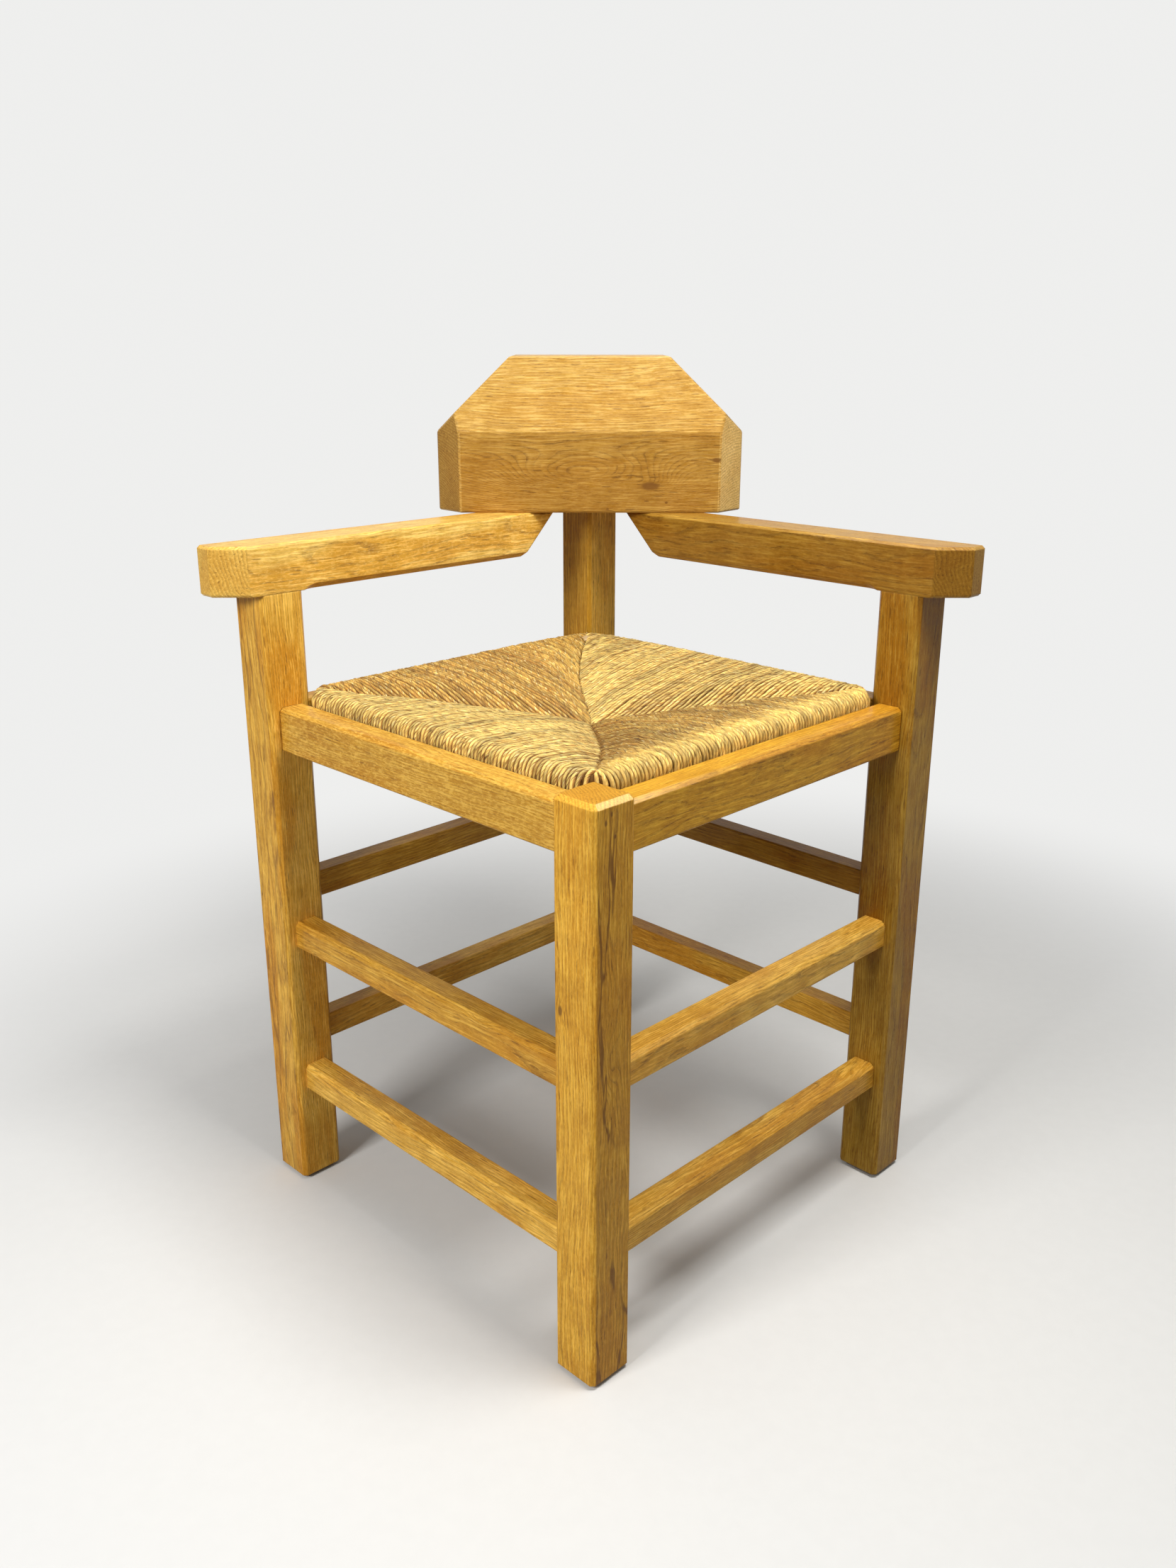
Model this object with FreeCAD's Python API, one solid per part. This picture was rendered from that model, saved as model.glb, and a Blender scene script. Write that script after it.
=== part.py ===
# Oak corner chair with a loose rush seat, seen from its front corner. Millimetres, +Z up.
#
# The plan is a square turned by 45 degrees. Pieces are drawn in plan coordinates: u runs from
# the front leg to the right leg, v from the front leg to the left leg, and the front leg's centre
# is the origin. to_row() turns the finished piece so that the front leg points along -Y and puts
# the origin on the floor under the middle of the chair's bounding box.

import FreeCAD, Part
import math
import os

# Square frame
LEG_SPACING = 418.0        # centre to centre of neighbouring legs
LEG_SECTION = 45.0         # square section of every leg
LEG_EDGE = 3.5             # bevel on a leg's long edges
LEG_TOP_BEVEL = 4.0        # bevel round the top of the short front leg
LEG_FOOT_BEVEL = 1.5       # bevel round a leg's foot
FRONT_LEG_PROUD = 10.0     # front leg's top above the seat rails

# Felt pads under the feet
PAD_THICKNESS = 3.0
PAD_INSET = 4.0            # from the leg's faces
PAD_CORNER = 4.0           # cut off each corner

# Seat rails
RAIL_TOP = 506.0           # above the floor
RAIL_HEIGHT = 41.5
RAIL_THICKNESS = 25.0
RAIL_SETBACK = 10.5        # behind the leg's outer face
RAIL_EDGE = 3.5            # bevel on the outer top edge
SMALL_ARRIS = 1.0          # softened edges elsewhere on rails and stretchers

# Stretchers
STRETCHER_HEIGHT = 26.5
STRETCHER_THICKNESS = 24.0
STRETCHER_SETBACK = 10.5
STRETCHER_EDGE = 4.0       # bevel on the outer top edge
UPPER_STRETCHER = 263.0    # underside of the two upper front stretchers
LOWER_STRETCHER = 105.0    # underside of the two lower front stretchers
BACK_STAGGER = 40.0        # how much higher the back stretchers sit than the front ones

# Mortise and tenon joints
TENON_THICKNESS = 9.0
TENON_LENGTH = 30.0        # where no other tenon meets it
TENON_SHOULDER = 4.5       # left above and below a tenon
TENON_FIT = 0.15           # clearance round a tenon
TENON_END_GAP = 1.0        # glue space past a square tenon's end
MITRE_GAP = 0.3            # between a mitred tenon's end and the mitre line

# Arms
ARM_TOP = 656.0            # above the floor, where the backrest block sits
ARM_HEIGHT = 45.0
ARM_OVERHANG = 35.0        # past the front of the side leg
ARM_CORNER_CUT = 25.0      # 45 degree cut across the inner front corner
ARM_BACK_GAP = 53.0        # from the arm's top end to the back leg
ARM_NOSE = 4.0             # rounding at the foot of the undercut
ARM_TIP_ROUND = 4.0        # rounding of the outer corner at the tip
ARM_ARRIS = 2.5            # bevel on the top edges
ARM_TIP_ARRIS = 2.0        # bevel on the tip's lower edges
ARM_UNDER_BEVEL = 5.0      # stopped bevel on the inner lower edge
ARM_BEVEL_STOP = 1.5       # where that bevel starts, past the leg
ARM_BEVEL_TOOL = 17.0      # radius of the round tool that leaves its curved start

# Stub tenons on the tops of the three tall legs
STUB_SECTION = 22.0
ARM_STUB = 25.0            # side legs into the arms
BACK_STUB = 35.0           # back leg into the backrest block
STUB_END_GAP = 1.0

# Backrest block
BLOCK_DEPTH = 130.0
BLOCK_BACK_LIP = 5.0       # past the back leg's outer corner
BLOCK_WIDTH = 321.0
BLOCK_TOP_WIDTH = 165.0
BLOCK_TOP = 812.5          # above the floor
BLOCK_SLOPE = 44.0         # of the cut-off upper corners, from level
BLOCK_CREASE = 80.5        # height of the crease above the arms
BLOCK_RAKE = 15.4          # lean of the front face above the crease
BLOCK_BEVEL_WIDTH = 25.0   # end bevel, seen from the front
BLOCK_BEVEL_DEPTH = 29.0   # end bevel, seen from above
BLOCK_ARRIS = 1.5

# Dowels between arms and backrest block
DOWEL_RADIUS = 5.0
DOWEL_LENGTH = 50.0
DOWEL_TIP = 1.5
DOWEL_FROM_END = 12.5      # first dowel, from the arm's top end
DOWEL_PITCH = 18.0
DOWEL_FIT = 0.1            # clearance round a dowel
DOWEL_END_GAP = 1.0

# Loose seat
SEAT_GAP = 0.4             # between the rush and the rails
STRAND = 4.1               # thickness of the rush wrapped round the frame
SEAT_RISE = 14.0           # top of the rush roll above the rails
ROLL_RADIUS = 12.0         # outer top edge of the rush
ROLL_FOOT_RADIUS = 4.0     # outer lower edge of the rush
ROLL_CROWN = 5.5           # level top of the roll, before the seat turns down to the middle
ROLL_BACK_RADIUS = 40.0    # of that turn
SEAT_SAG = 33.0            # middle of the seat below the top of the roll
SEAT_MIDDLE = 14.0         # thickness of the rush in the middle
SEAT_CORNER = 48.0         # u + v at the cut-off corners, where the rush clears the legs
SEAT_CORNER_RADIUS = 8.0   # outer top edge of the rush at those corners
SEAT_FRAME_WIDTH = 26.0
SEAT_FRAME_HEIGHT = 24.0
SEAT_FRAME_ROUND = 7.0     # rounded edges that the rush bends over
SEAT_FRAME_CORNER = 56.0   # u + v at the frame's cut-off corners
SEAT_FRAME_FIT = 0.25      # between the frame and the rush
LAP_FIT = 0.1              # between the halves of a lapped corner

# Ledges that carry the seat, and their screws
LEDGE_WIDTH = 14.0
LEDGE_HEIGHT = 15.0
LEDGE_END_GAP = 9.0        # from the legs
LEDGE_SCREWS = 2           # in each ledge
SCREW_RADIUS = 2.0
SCREW_HEAD_RADIUS = 4.0
SCREW_HEAD_HEIGHT = 2.4
SCREW_GRIP = 13.0          # length of screw in the rail
SCREW_FIT = 0.1
SCREW_END_GAP = 0.5

# Worked out from the sizes above
HALF = LEG_SECTION / 2
RAIL_IN = -HALF + RAIL_SETBACK + RAIL_THICKNESS
RAIL_BOTTOM = RAIL_TOP - RAIL_HEIGHT
ARM_BOTTOM = ARM_TOP - ARM_HEIGHT
MIDDLE = LEG_SPACING / 2
ROOT2 = math.sqrt(2.0)
BLOCK_BACK = ROOT2 * (LEG_SPACING + HALF) + BLOCK_BACK_LIP
BLOCK_FRONT = BLOCK_BACK - BLOCK_DEPTH
CHAIR_FRONT = -(2 * HALF - LEG_EDGE) / ROOT2
CHAIR_MIDDLE_Y = (CHAIR_FRONT + BLOCK_BACK) / 2
SEAT_TOP = RAIL_TOP + SEAT_RISE
SEAT_OUT = RAIL_IN + SEAT_GAP
SEAT_FRAME_OUT = SEAT_OUT + STRAND
SEAT_FRAME_TOP = SEAT_TOP - STRAND
SEAT_FRAME_BOTTOM = SEAT_FRAME_TOP - SEAT_FRAME_HEIGHT
SEAT_BOTTOM = SEAT_FRAME_BOTTOM - STRAND

UP = FreeCAD.Vector(0, 0, 1)
SIDES = ("front_right", "back_right", "back_left", "front_left")


def point(x, y, z):
    return FreeCAD.Vector(x, y, z)


def block(u0, u1, v0, v1, z0, z1):
    """An upright box between two corners."""
    return Part.makeBox(u1 - u0, v1 - v0, z1 - z0, point(u0, v0, z0))


def upright(outline, z0, z1):
    """A plan outline of (u, v) points, raised from z0 to z1."""
    points = [point(u, v, z0) for u, v in outline]
    return Part.Face(Part.makePolygon(points + points[:1])).extrude(UP * (z1 - z0))


def along_u(outline, u0, u1):
    """A section of (v, z) points, run along u."""
    points = [point(u0, v, z) for v, z in outline]
    return Part.Face(Part.makePolygon(points + points[:1])).extrude(point(u1 - u0, 0, 0))


def along_v(outline, v0, v1):
    """A section of (u, z) points, run along v."""
    points = [point(u, v0, z) for u, z in outline]
    return Part.Face(Part.makePolygon(points + points[:1])).extrude(point(0, v1 - v0, 0))


def rounded_section(corners):
    """A closed (v, z) section of (v, z, radius) corners, with a tangent arc at each radius."""
    edges = []
    previous_end = None
    first_start = None
    count = len(corners)
    for index, (v, z, radius) in enumerate(corners):
        here = point(0, v, z)
        before = point(0, *corners[index - 1][:2])
        after = point(0, *corners[(index + 1) % count][:2])
        to_before = (before - here).normalize()
        to_after = (after - here).normalize()
        half_angle = to_before.getAngle(to_after) / 2
        back_off = radius / math.tan(half_angle)
        start = here + to_before * back_off
        end = here + to_after * back_off
        if previous_end is not None:
            edges.append(Part.makeLine(previous_end, start))
        if radius > 0:
            bisector = (to_before + to_after).normalize()
            centre = here + bisector * (radius / math.sin(half_angle))
            edges.append(Part.Arc(start, centre - bisector * radius, end).toShape())
        if first_start is None:
            first_start = start
        previous_end = end
    edges.append(Part.makeLine(previous_end, first_start))
    return Part.Face(Part.Wire(edges))


def square_outline(centre_u, centre_v, half, cut):
    """A square plan outline with its four corners cut off."""
    outline = []
    for su, sv, order in ((1, -1, 0), (1, 1, 1), (-1, 1, 0), (-1, -1, 1)):
        along = (centre_u + su * (half - cut), centre_v + sv * half)
        across = (centre_u + su * half, centre_v + sv * (half - cut))
        outline += [across, along] if order else [along, across]
    return outline


def softened(solid, arris):
    """A convex solid with every edge planed off, by as much on both of the faces that meet there."""
    middle = solid.CenterOfMass
    reach = solid.BoundBox.DiagonalLength
    planed = solid
    for edge in solid.Edges:
        normals = []
        for face in solid.ancestorsOfType(edge, Part.Face):
            normal = face.normalAt(0, 0)
            outward = normal.dot(face.CenterOfMass - middle) > 0
            normals.append(normal if outward else normal * -1)
        first, second = normals
        depth = arris * math.sqrt((1 - first.dot(second)) / 2)
        outwards = (first + second).normalize()
        cutter = Part.makeBox(2 * reach, 2 * reach, reach, point(-reach, -reach, 0))
        cutter.Placement = FreeCAD.Placement(edge.CenterOfMass - outwards * depth,
                                             FreeCAD.Rotation(UP, outwards)).multiply(cutter.Placement)
        planed = planed.cut(cutter)
    return planed


def on_side(shape, side):
    """Turn a piece drawn on the front right side to another side of the square."""
    turned = shape.copy()
    turned.rotate(point(MIDDLE, MIDDLE, 0), UP, 90 * SIDES.index(side))
    return turned


def to_row(shape):
    """Turn the plan so that the front leg faces -Y, with the origin under the middle."""
    placed = shape.copy()
    placed.rotate(point(0, 0, 0), UP, 45)
    placed.translate(point(0, -CHAIR_MIDDLE_Y, 0))
    return placed


def other_hand(shape):
    """The mirror image across the line from the front leg to the back leg."""
    return shape.mirror(point(0, 0, 0), point(1, -1, 0))


def tenon(bar, at_end, grow):
    """A tenon at the start or end of a bar, or its mortise when grow is more than 0."""
    middle_v = bar["v0"] + bar["thickness"] / 2
    v0 = middle_v - TENON_THICKNESS / 2 - grow
    v1 = middle_v + TENON_THICKNESS / 2 + grow
    z0 = bar["z0"] + TENON_SHOULDER - grow
    z1 = bar["z0"] + bar["height"] - TENON_SHOULDER + grow
    mitred = bar["mitred"][1 if at_end else 0]
    if mitred:
        gap = MITRE_GAP - grow * 2
        inner0, inner1 = v0 + gap, v1 + gap
    else:
        reach = HALF - TENON_LENGTH - (TENON_END_GAP if grow else 0)
        inner0, inner1 = reach, reach
    outline = [(HALF, v0), (HALF, v1), (inner1, v1), (inner0, v0)]
    if at_end:
        outline = [(LEG_SPACING - u, v) for u, v in outline]
    return upright(outline, z0, z1)


def bar_solid(bar):
    """A rail or stretcher between two legs, with its bevels and both tenons."""
    v0 = bar["v0"]
    v1 = v0 + bar["thickness"]
    z0 = bar["z0"]
    z1 = z0 + bar["height"]
    edge = bar["edge"]
    arris = SMALL_ARRIS
    section = [(v0, z0 + arris), (v0, z1 - edge), (v0 + edge, z1), (v1 - arris, z1), (v1, z1 - arris),
               (v1, z0 + arris), (v1 - arris, z0), (v0 + arris, z0)]
    body = along_u(section, HALF, LEG_SPACING - HALF)
    return body.fuse([tenon(bar, False, 0), tenon(bar, True, 0)]).removeSplitter()


def bars():
    """Every rail and stretcher: its name, side and sizes, as drawn on the front right side."""
    found = {}
    for index, side in enumerate(SIDES):
        found["seat_rail_" + side] = {
            "side": side, "v0": -HALF + RAIL_SETBACK, "thickness": RAIL_THICKNESS, "z0": RAIL_BOTTOM,
            "height": RAIL_HEIGHT, "edge": RAIL_EDGE, "mitred": (True, True)}
        raised = BACK_STAGGER if side.startswith("back") else 0
        mitred = (index % 2 == 0, index % 2 == 1)
        for level, bottom in (("upper", UPPER_STRETCHER), ("lower", LOWER_STRETCHER)):
            found[level + "_stretcher_" + side] = {
                "side": side, "v0": -HALF + STRETCHER_SETBACK, "thickness": STRETCHER_THICKNESS,
                "z0": bottom + raised, "height": STRETCHER_HEIGHT, "edge": STRETCHER_EDGE,
                "mitred": mitred}
    return found


def leg(centre_u, centre_v, top, stub):
    """A leg from its pad to its top, with a stub tenon on it where stub is more than 0."""
    outline = square_outline(centre_u, centre_v, HALF, LEG_EDGE)
    body = upright(outline, PAD_THICKNESS, top)
    foot = [edge for edge in body.Edges if abs(edge.BoundBox.ZMax - PAD_THICKNESS) < 0.01]
    body = body.makeChamfer(LEG_FOOT_BEVEL, foot)
    if stub:
        half = STUB_SECTION / 2
        body = body.fuse(block(centre_u - half, centre_u + half, centre_v - half, centre_v + half,
                               top, top + stub)).removeSplitter()
    else:
        rim = [edge for edge in body.Edges if abs(edge.BoundBox.ZMin - top) < 0.01]
        body = body.makeChamfer(LEG_TOP_BEVEL, rim)
    return body


def stub_mortise(centre_u, centre_v, bottom, depth):
    """The square socket that takes a stub tenon."""
    half = STUB_SECTION / 2 + TENON_FIT
    return block(centre_u - half, centre_u + half, centre_v - half, centre_v + half,
                 bottom - 1, bottom + depth + STUB_END_GAP)


def legs():
    """The four legs, cut for every tenon that enters them."""
    mortises = []
    for bar in bars().values():
        for at_end in (False, True):
            mortises.append(on_side(tenon(bar, at_end, TENON_FIT), bar["side"]))
    cavity = mortises[0].fuse(mortises[1:])
    far = LEG_SPACING
    return {
        "leg_front": leg(0, 0, RAIL_TOP + FRONT_LEG_PROUD, 0).cut(cavity),
        "leg_right": leg(far, 0, ARM_BOTTOM, ARM_STUB).cut(cavity),
        "leg_left": leg(0, far, ARM_BOTTOM, ARM_STUB).cut(cavity),
        "leg_back": leg(far, far, ARM_TOP, BACK_STUB).cut(cavity)}


def dowel_places():
    """The (u, v) places of the dowels in the left arm."""
    end = LEG_SPACING - HALF - ARM_BACK_GAP
    return [(end - DOWEL_FROM_END - step * DOWEL_PITCH, LEG_SPACING) for step in (0, 1)]


def dowel(u, v):
    """A dowel with bevelled tips, half in the arm and half in the block."""
    solid = Part.makeCylinder(DOWEL_RADIUS, DOWEL_LENGTH, point(u, v, ARM_TOP - DOWEL_LENGTH / 2))
    rims = [edge for edge in solid.Edges if isinstance(edge.Curve, Part.Circle)]
    return solid.makeChamfer(DOWEL_TIP, rims)


def dowel_hole(u, v):
    reach = DOWEL_LENGTH / 2 + DOWEL_END_GAP
    return Part.makeCylinder(DOWEL_RADIUS + DOWEL_FIT, 2 * reach, point(u, v, ARM_TOP - reach))


def left_arm():
    """The left arm: a square bar with a cut-off front corner and an undercut back end."""
    tip = -HALF - ARM_OVERHANG
    end = LEG_SPACING - HALF - ARM_BACK_GAP
    inner = LEG_SPACING - HALF
    outer = LEG_SPACING + HALF
    side = [(tip, ARM_BOTTOM), (end - ARM_HEIGHT, ARM_BOTTOM), (end, ARM_TOP), (tip, ARM_TOP)]
    arm = along_v(side, inner, outer)
    nose = [edge for edge in arm.Edges if edge.BoundBox.XLength < 0.01
            and edge.BoundBox.ZMax < ARM_BOTTOM + 0.01 and edge.BoundBox.XMin > tip + 0.01]
    arm = arm.makeFillet(ARM_NOSE, nose)
    outer_corner = [edge for edge in arm.Edges if edge.BoundBox.XMax < tip + 0.01
                    and edge.BoundBox.YMin > outer - 0.01]
    arm = arm.makeFillet(ARM_TIP_ROUND, outer_corner)
    corner = [(tip - 1, inner - 1), (tip + ARM_CORNER_CUT, inner - 1), (tip + ARM_CORNER_CUT, inner),
              (tip, inner + ARM_CORNER_CUT), (tip - 1, inner + ARM_CORNER_CUT)]
    arm = arm.cut(upright(corner, ARM_BOTTOM - 1, ARM_TOP + 1))
    top_rim = [edge for edge in arm.Edges if edge.BoundBox.ZMin > ARM_TOP - 0.01]
    arm = arm.makeChamfer(ARM_ARRIS, top_rim)
    tip_rim = [edge for edge in arm.Edges if edge.BoundBox.ZMax < ARM_BOTTOM + 0.01
               and edge.BoundBox.XMax < tip + ARM_CORNER_CUT + 0.01]
    arm = arm.makeChamfer(ARM_TIP_ARRIS, tip_rim)
    arm = arm.cut(under_bevel(inner, end))
    for u, v in dowel_places():
        arm = arm.cut(dowel_hole(u, v))
    return arm.cut(stub_mortise(0, LEG_SPACING, ARM_BOTTOM, ARM_STUB))


def under_bevel(inner, end):
    """The cutter for the stopped bevel: a long wedge that starts in the sweep of a round tool."""
    size = ARM_UNDER_BEVEL
    radius = ARM_BEVEL_TOOL
    run_out = math.sqrt(size * (2 * radius + size))
    start = HALF + ARM_BEVEL_STOP + run_out
    spare = 1.0
    top = ARM_BOTTOM + size
    wedge = [(inner - spare, ARM_BOTTOM - spare), (inner + size + spare, ARM_BOTTOM - spare),
             (inner - spare, top + spare)]
    tool = Part.makeCone(radius + size + spare, radius, size + spare,
                         point(start, inner - radius, ARM_BOTTOM - spare))
    return along_u(wedge, start, end + spare).fuse(tool)


def backrest_block():
    """The backrest block, drawn square to the diagonal and turned back into plan coordinates."""
    half = BLOCK_WIDTH / 2
    top_half = BLOCK_TOP_WIDTH / 2
    shoulder = BLOCK_TOP - (half - top_half) * math.tan(math.radians(BLOCK_SLOPE))
    crease = ARM_TOP + BLOCK_CREASE
    front_view = [(-half, ARM_TOP), (half, ARM_TOP), (half, shoulder), (top_half, BLOCK_TOP),
                  (-top_half, BLOCK_TOP), (-half, shoulder)]
    solid = along_v(front_view, BLOCK_FRONT, BLOCK_BACK)
    face_half = half - BLOCK_BEVEL_WIDTH
    plan = [(face_half, BLOCK_FRONT), (half, BLOCK_FRONT + BLOCK_BEVEL_DEPTH),
            (half, BLOCK_BACK - BLOCK_BEVEL_DEPTH), (face_half, BLOCK_BACK)]
    plan += [(-x, y) for x, y in reversed(plan)]
    solid = solid.common(upright(plan, ARM_TOP - 1, BLOCK_TOP + 1))
    lean = math.tan(math.radians(BLOCK_RAKE)) * (BLOCK_TOP - crease)
    wedge = [(BLOCK_FRONT - 1, crease), (BLOCK_FRONT, crease), (BLOCK_FRONT + lean, BLOCK_TOP),
             (BLOCK_FRONT + lean, BLOCK_TOP + 1), (BLOCK_FRONT - 1, BLOCK_TOP + 1)]
    solid = solid.cut(along_u(wedge, -half - 1, half + 1)).Solids[0]
    solid = softened(solid, BLOCK_ARRIS)
    solid.rotate(point(0, 0, 0), UP, -45)
    solid = solid.cut(stub_mortise(LEG_SPACING, LEG_SPACING, ARM_TOP, BACK_STUB))
    for u, v in dowel_places():
        solid = solid.cut([dowel_hole(u, v), dowel_hole(v, u)])
    return solid


def corner_cuts(reach, radius):
    """Cutters for all four corners where u + v is less than reach, rounded over at the seat's top."""
    near = reach / ROOT2
    low = SEAT_BOTTOM - 1
    high = SEAT_TOP + 1
    bend = radius * (1 - math.sqrt(0.5))
    arc = Part.Arc(point(0, near, SEAT_TOP - radius), point(0, near + bend, SEAT_TOP - bend),
                   point(0, near + radius, SEAT_TOP))
    path = [point(0, near + radius, high), point(0, -near, high), point(0, -near, low), point(0, near, low)]
    lines = Part.makePolygon([arc.EndPoint] + path + [arc.StartPoint])
    section = Part.Face(Part.Wire([arc.toShape()] + lines.Edges))
    cutter = section.extrude(point(2 * LEG_SECTION, 0, 0))
    cutter.translate(point(-LEG_SECTION, 0, 0))
    cutter.rotate(point(0, 0, 0), UP, -45)
    return [on_side(cutter, side) for side in SIDES]


def frame_section(grow):
    """The seat frame's section with its rounded edges, grown by a clearance."""
    v0 = SEAT_FRAME_OUT - grow
    v1 = SEAT_FRAME_OUT + SEAT_FRAME_WIDTH + grow
    z0 = SEAT_FRAME_BOTTOM - grow
    z1 = SEAT_FRAME_TOP + grow
    radius = SEAT_FRAME_ROUND
    return rounded_section([(v0, z0, radius), (v0, z1, radius), (v1, z1, radius), (v1, z0, radius)])


def ring(section):
    """A (v, z) section run round all four sides of the seat and mitred at its corners."""
    triangle = [(0, 0), (LEG_SPACING, 0), (MIDDLE, MIDDLE)]
    run = section.extrude(point(LEG_SPACING, 0, 0)).common(upright(triangle, PAD_THICKNESS, BLOCK_TOP))
    quadrants = [on_side(run, side) for side in SIDES]
    return quadrants[0].fuse(quadrants[1:]).removeSplitter()


def seat_frame():
    """Four frame members with lapped corners, two with their upper and two with their lower half."""
    outer = SEAT_FRAME_OUT
    lap = outer + SEAT_FRAME_WIDTH + LAP_FIT
    half_way = SEAT_FRAME_BOTTOM + SEAT_FRAME_HEIGHT / 2
    whole = ring(frame_section(0)).cut(corner_cuts(SEAT_FRAME_CORNER, SEAT_FRAME_ROUND))
    members = {}
    for index, side in enumerate(SIDES):
        low, high = SEAT_BOTTOM, half_way + LAP_FIT / 2
        if index % 2:
            low, high = half_way - LAP_FIT / 2, SEAT_TOP
        strip = block(0, LEG_SPACING, 0, outer + SEAT_FRAME_WIDTH, SEAT_BOTTOM, SEAT_TOP)
        laps = [block(0, lap, 0, lap, low, high), block(LEG_SPACING - lap, LEG_SPACING, 0, lap, low, high)]
        members["seat_frame_" + side] = whole.common(on_side(strip.cut(laps), side))
    return members


def rush_seat():
    """The woven seat: four quadrants that roll over the frame and sag to the middle."""
    middle_top = SEAT_TOP - SEAT_SAG
    roll_back = SEAT_OUT + ROLL_RADIUS + ROLL_CROWN
    flat_end = SEAT_FRAME_OUT + SEAT_FRAME_WIDTH + STRAND
    section = rounded_section([
        (SEAT_OUT, SEAT_BOTTOM, ROLL_FOOT_RADIUS), (SEAT_OUT, SEAT_TOP, ROLL_RADIUS),
        (roll_back, SEAT_TOP, ROLL_BACK_RADIUS), (MIDDLE, middle_top, 0),
        (MIDDLE, middle_top - SEAT_MIDDLE, 0), (flat_end, SEAT_BOTTOM, ROLL_BACK_RADIUS)])
    channel = ring(frame_section(SEAT_FRAME_FIT))
    return ring(section).cut(channel).cut(corner_cuts(SEAT_CORNER, SEAT_CORNER_RADIUS))


def screw_places():
    """The u of each screw in the front right ledge."""
    first = HALF + LEDGE_END_GAP
    length = LEG_SPACING - 2 * first
    step = length / LEDGE_SCREWS
    return [first + step * (index + 0.5) for index in range(LEDGE_SCREWS)]


def screw(u, grow, end_gap):
    """A countersunk screw through a ledge into its rail, or the hole for it."""
    z = SEAT_BOTTOM - LEDGE_HEIGHT / 2
    head_face = RAIL_IN + LEDGE_WIDTH
    length = LEDGE_WIDTH + SCREW_GRIP
    inward = point(0, -1, 0)
    shank = Part.makeCylinder(SCREW_RADIUS + grow, length + end_gap, point(u, head_face, z), inward)
    head = Part.makeCone(SCREW_HEAD_RADIUS + grow, SCREW_RADIUS + grow, SCREW_HEAD_HEIGHT,
                         point(u, head_face, z), inward)
    return shank.fuse(head)


def ledges_and_screws():
    """The four ledges, their screws as one group, and the holes that the rails need."""
    first = HALF + LEDGE_END_GAP
    section = [(RAIL_IN, SEAT_BOTTOM - LEDGE_HEIGHT), (RAIL_IN + LEDGE_WIDTH, SEAT_BOTTOM - LEDGE_HEIGHT),
               (RAIL_IN + LEDGE_WIDTH, SEAT_BOTTOM), (RAIL_IN, SEAT_BOTTOM)]
    holes = [screw(u, SCREW_FIT, SCREW_END_GAP) for u in screw_places()]
    ledge = along_u(section, first, LEG_SPACING - first).cut(holes)
    ledges = {"seat_ledge_" + side: on_side(ledge, side) for side in SIDES}
    screws = [on_side(screw(u, 0, 0), side) for side in SIDES for u in screw_places()]
    return ledges, screws, holes


def foot_pad(centre_u, centre_v):
    """A thin felt pad under one leg."""
    return upright(square_outline(centre_u, centre_v, HALF - PAD_INSET, PAD_CORNER), 0, PAD_THICKNESS)


def build():
    """Every node of the chair, in the row's frame."""
    nodes = legs()
    ledges, screws, holes = ledges_and_screws()
    for name, bar in bars().items():
        solid = bar_solid(bar)
        if name.startswith("seat_rail"):
            solid = solid.cut(holes)
        nodes[name] = on_side(solid, bar["side"])
    nodes["arm_left"] = left_arm()
    nodes["arm_right"] = other_hand(nodes["arm_left"])
    nodes["backrest_block"] = backrest_block()
    dowels = [dowel(u, v) for u, v in dowel_places()] + [dowel(v, u) for u, v in dowel_places()]
    nodes["backrest_dowels"] = Part.makeCompound(dowels)
    nodes.update(ledges)
    nodes["ledge_screws"] = Part.makeCompound(screws)
    nodes.update(seat_frame())
    nodes["rush_seat"] = rush_seat()
    far = LEG_SPACING
    for name, u, v in (("front", 0, 0), ("right", far, 0), ("left", 0, far), ("back", far, far)):
        nodes["foot_pad_" + name] = foot_pad(u, v)
    return {name: to_row(shape) for name, shape in nodes.items()}


os.makedirs("parts", exist_ok=True)
for node, shape in build().items():
    shape.exportStep("parts/" + node + ".step")
    print(node, "solids", len(shape.Solids), "volume", round(shape.Volume), "valid", shape.isValid())
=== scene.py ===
"""A corner chair in golden oak with a loose woven rush seat, and the plain stage it stands on.

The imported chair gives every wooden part. This add-on finishes that oak, weaves the rush strand by
strand in place of its plain solid, and sets up the floor, the lamps and the camera.
"""

import math
from dataclasses import dataclass

import bpy
import numpy as np
from mathutils import Matrix, Vector


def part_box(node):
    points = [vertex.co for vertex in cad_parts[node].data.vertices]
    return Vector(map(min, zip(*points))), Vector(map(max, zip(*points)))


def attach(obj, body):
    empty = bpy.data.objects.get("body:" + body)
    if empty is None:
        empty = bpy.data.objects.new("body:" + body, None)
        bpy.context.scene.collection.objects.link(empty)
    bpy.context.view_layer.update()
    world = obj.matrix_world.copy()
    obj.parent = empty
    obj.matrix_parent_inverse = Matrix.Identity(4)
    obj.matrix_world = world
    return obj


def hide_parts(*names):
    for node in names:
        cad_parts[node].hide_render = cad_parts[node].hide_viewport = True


bl_info = {
    "name": "Corner chair",
    "version": (1, 0, 0),
    "blender": (4, 5, 0),
    "location": "3D View > Sidebar > Corner chair",
    "description": "Finishes a corner chair's oak, weaves its rush seat and lights it",
    "category": "Object",
}

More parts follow.
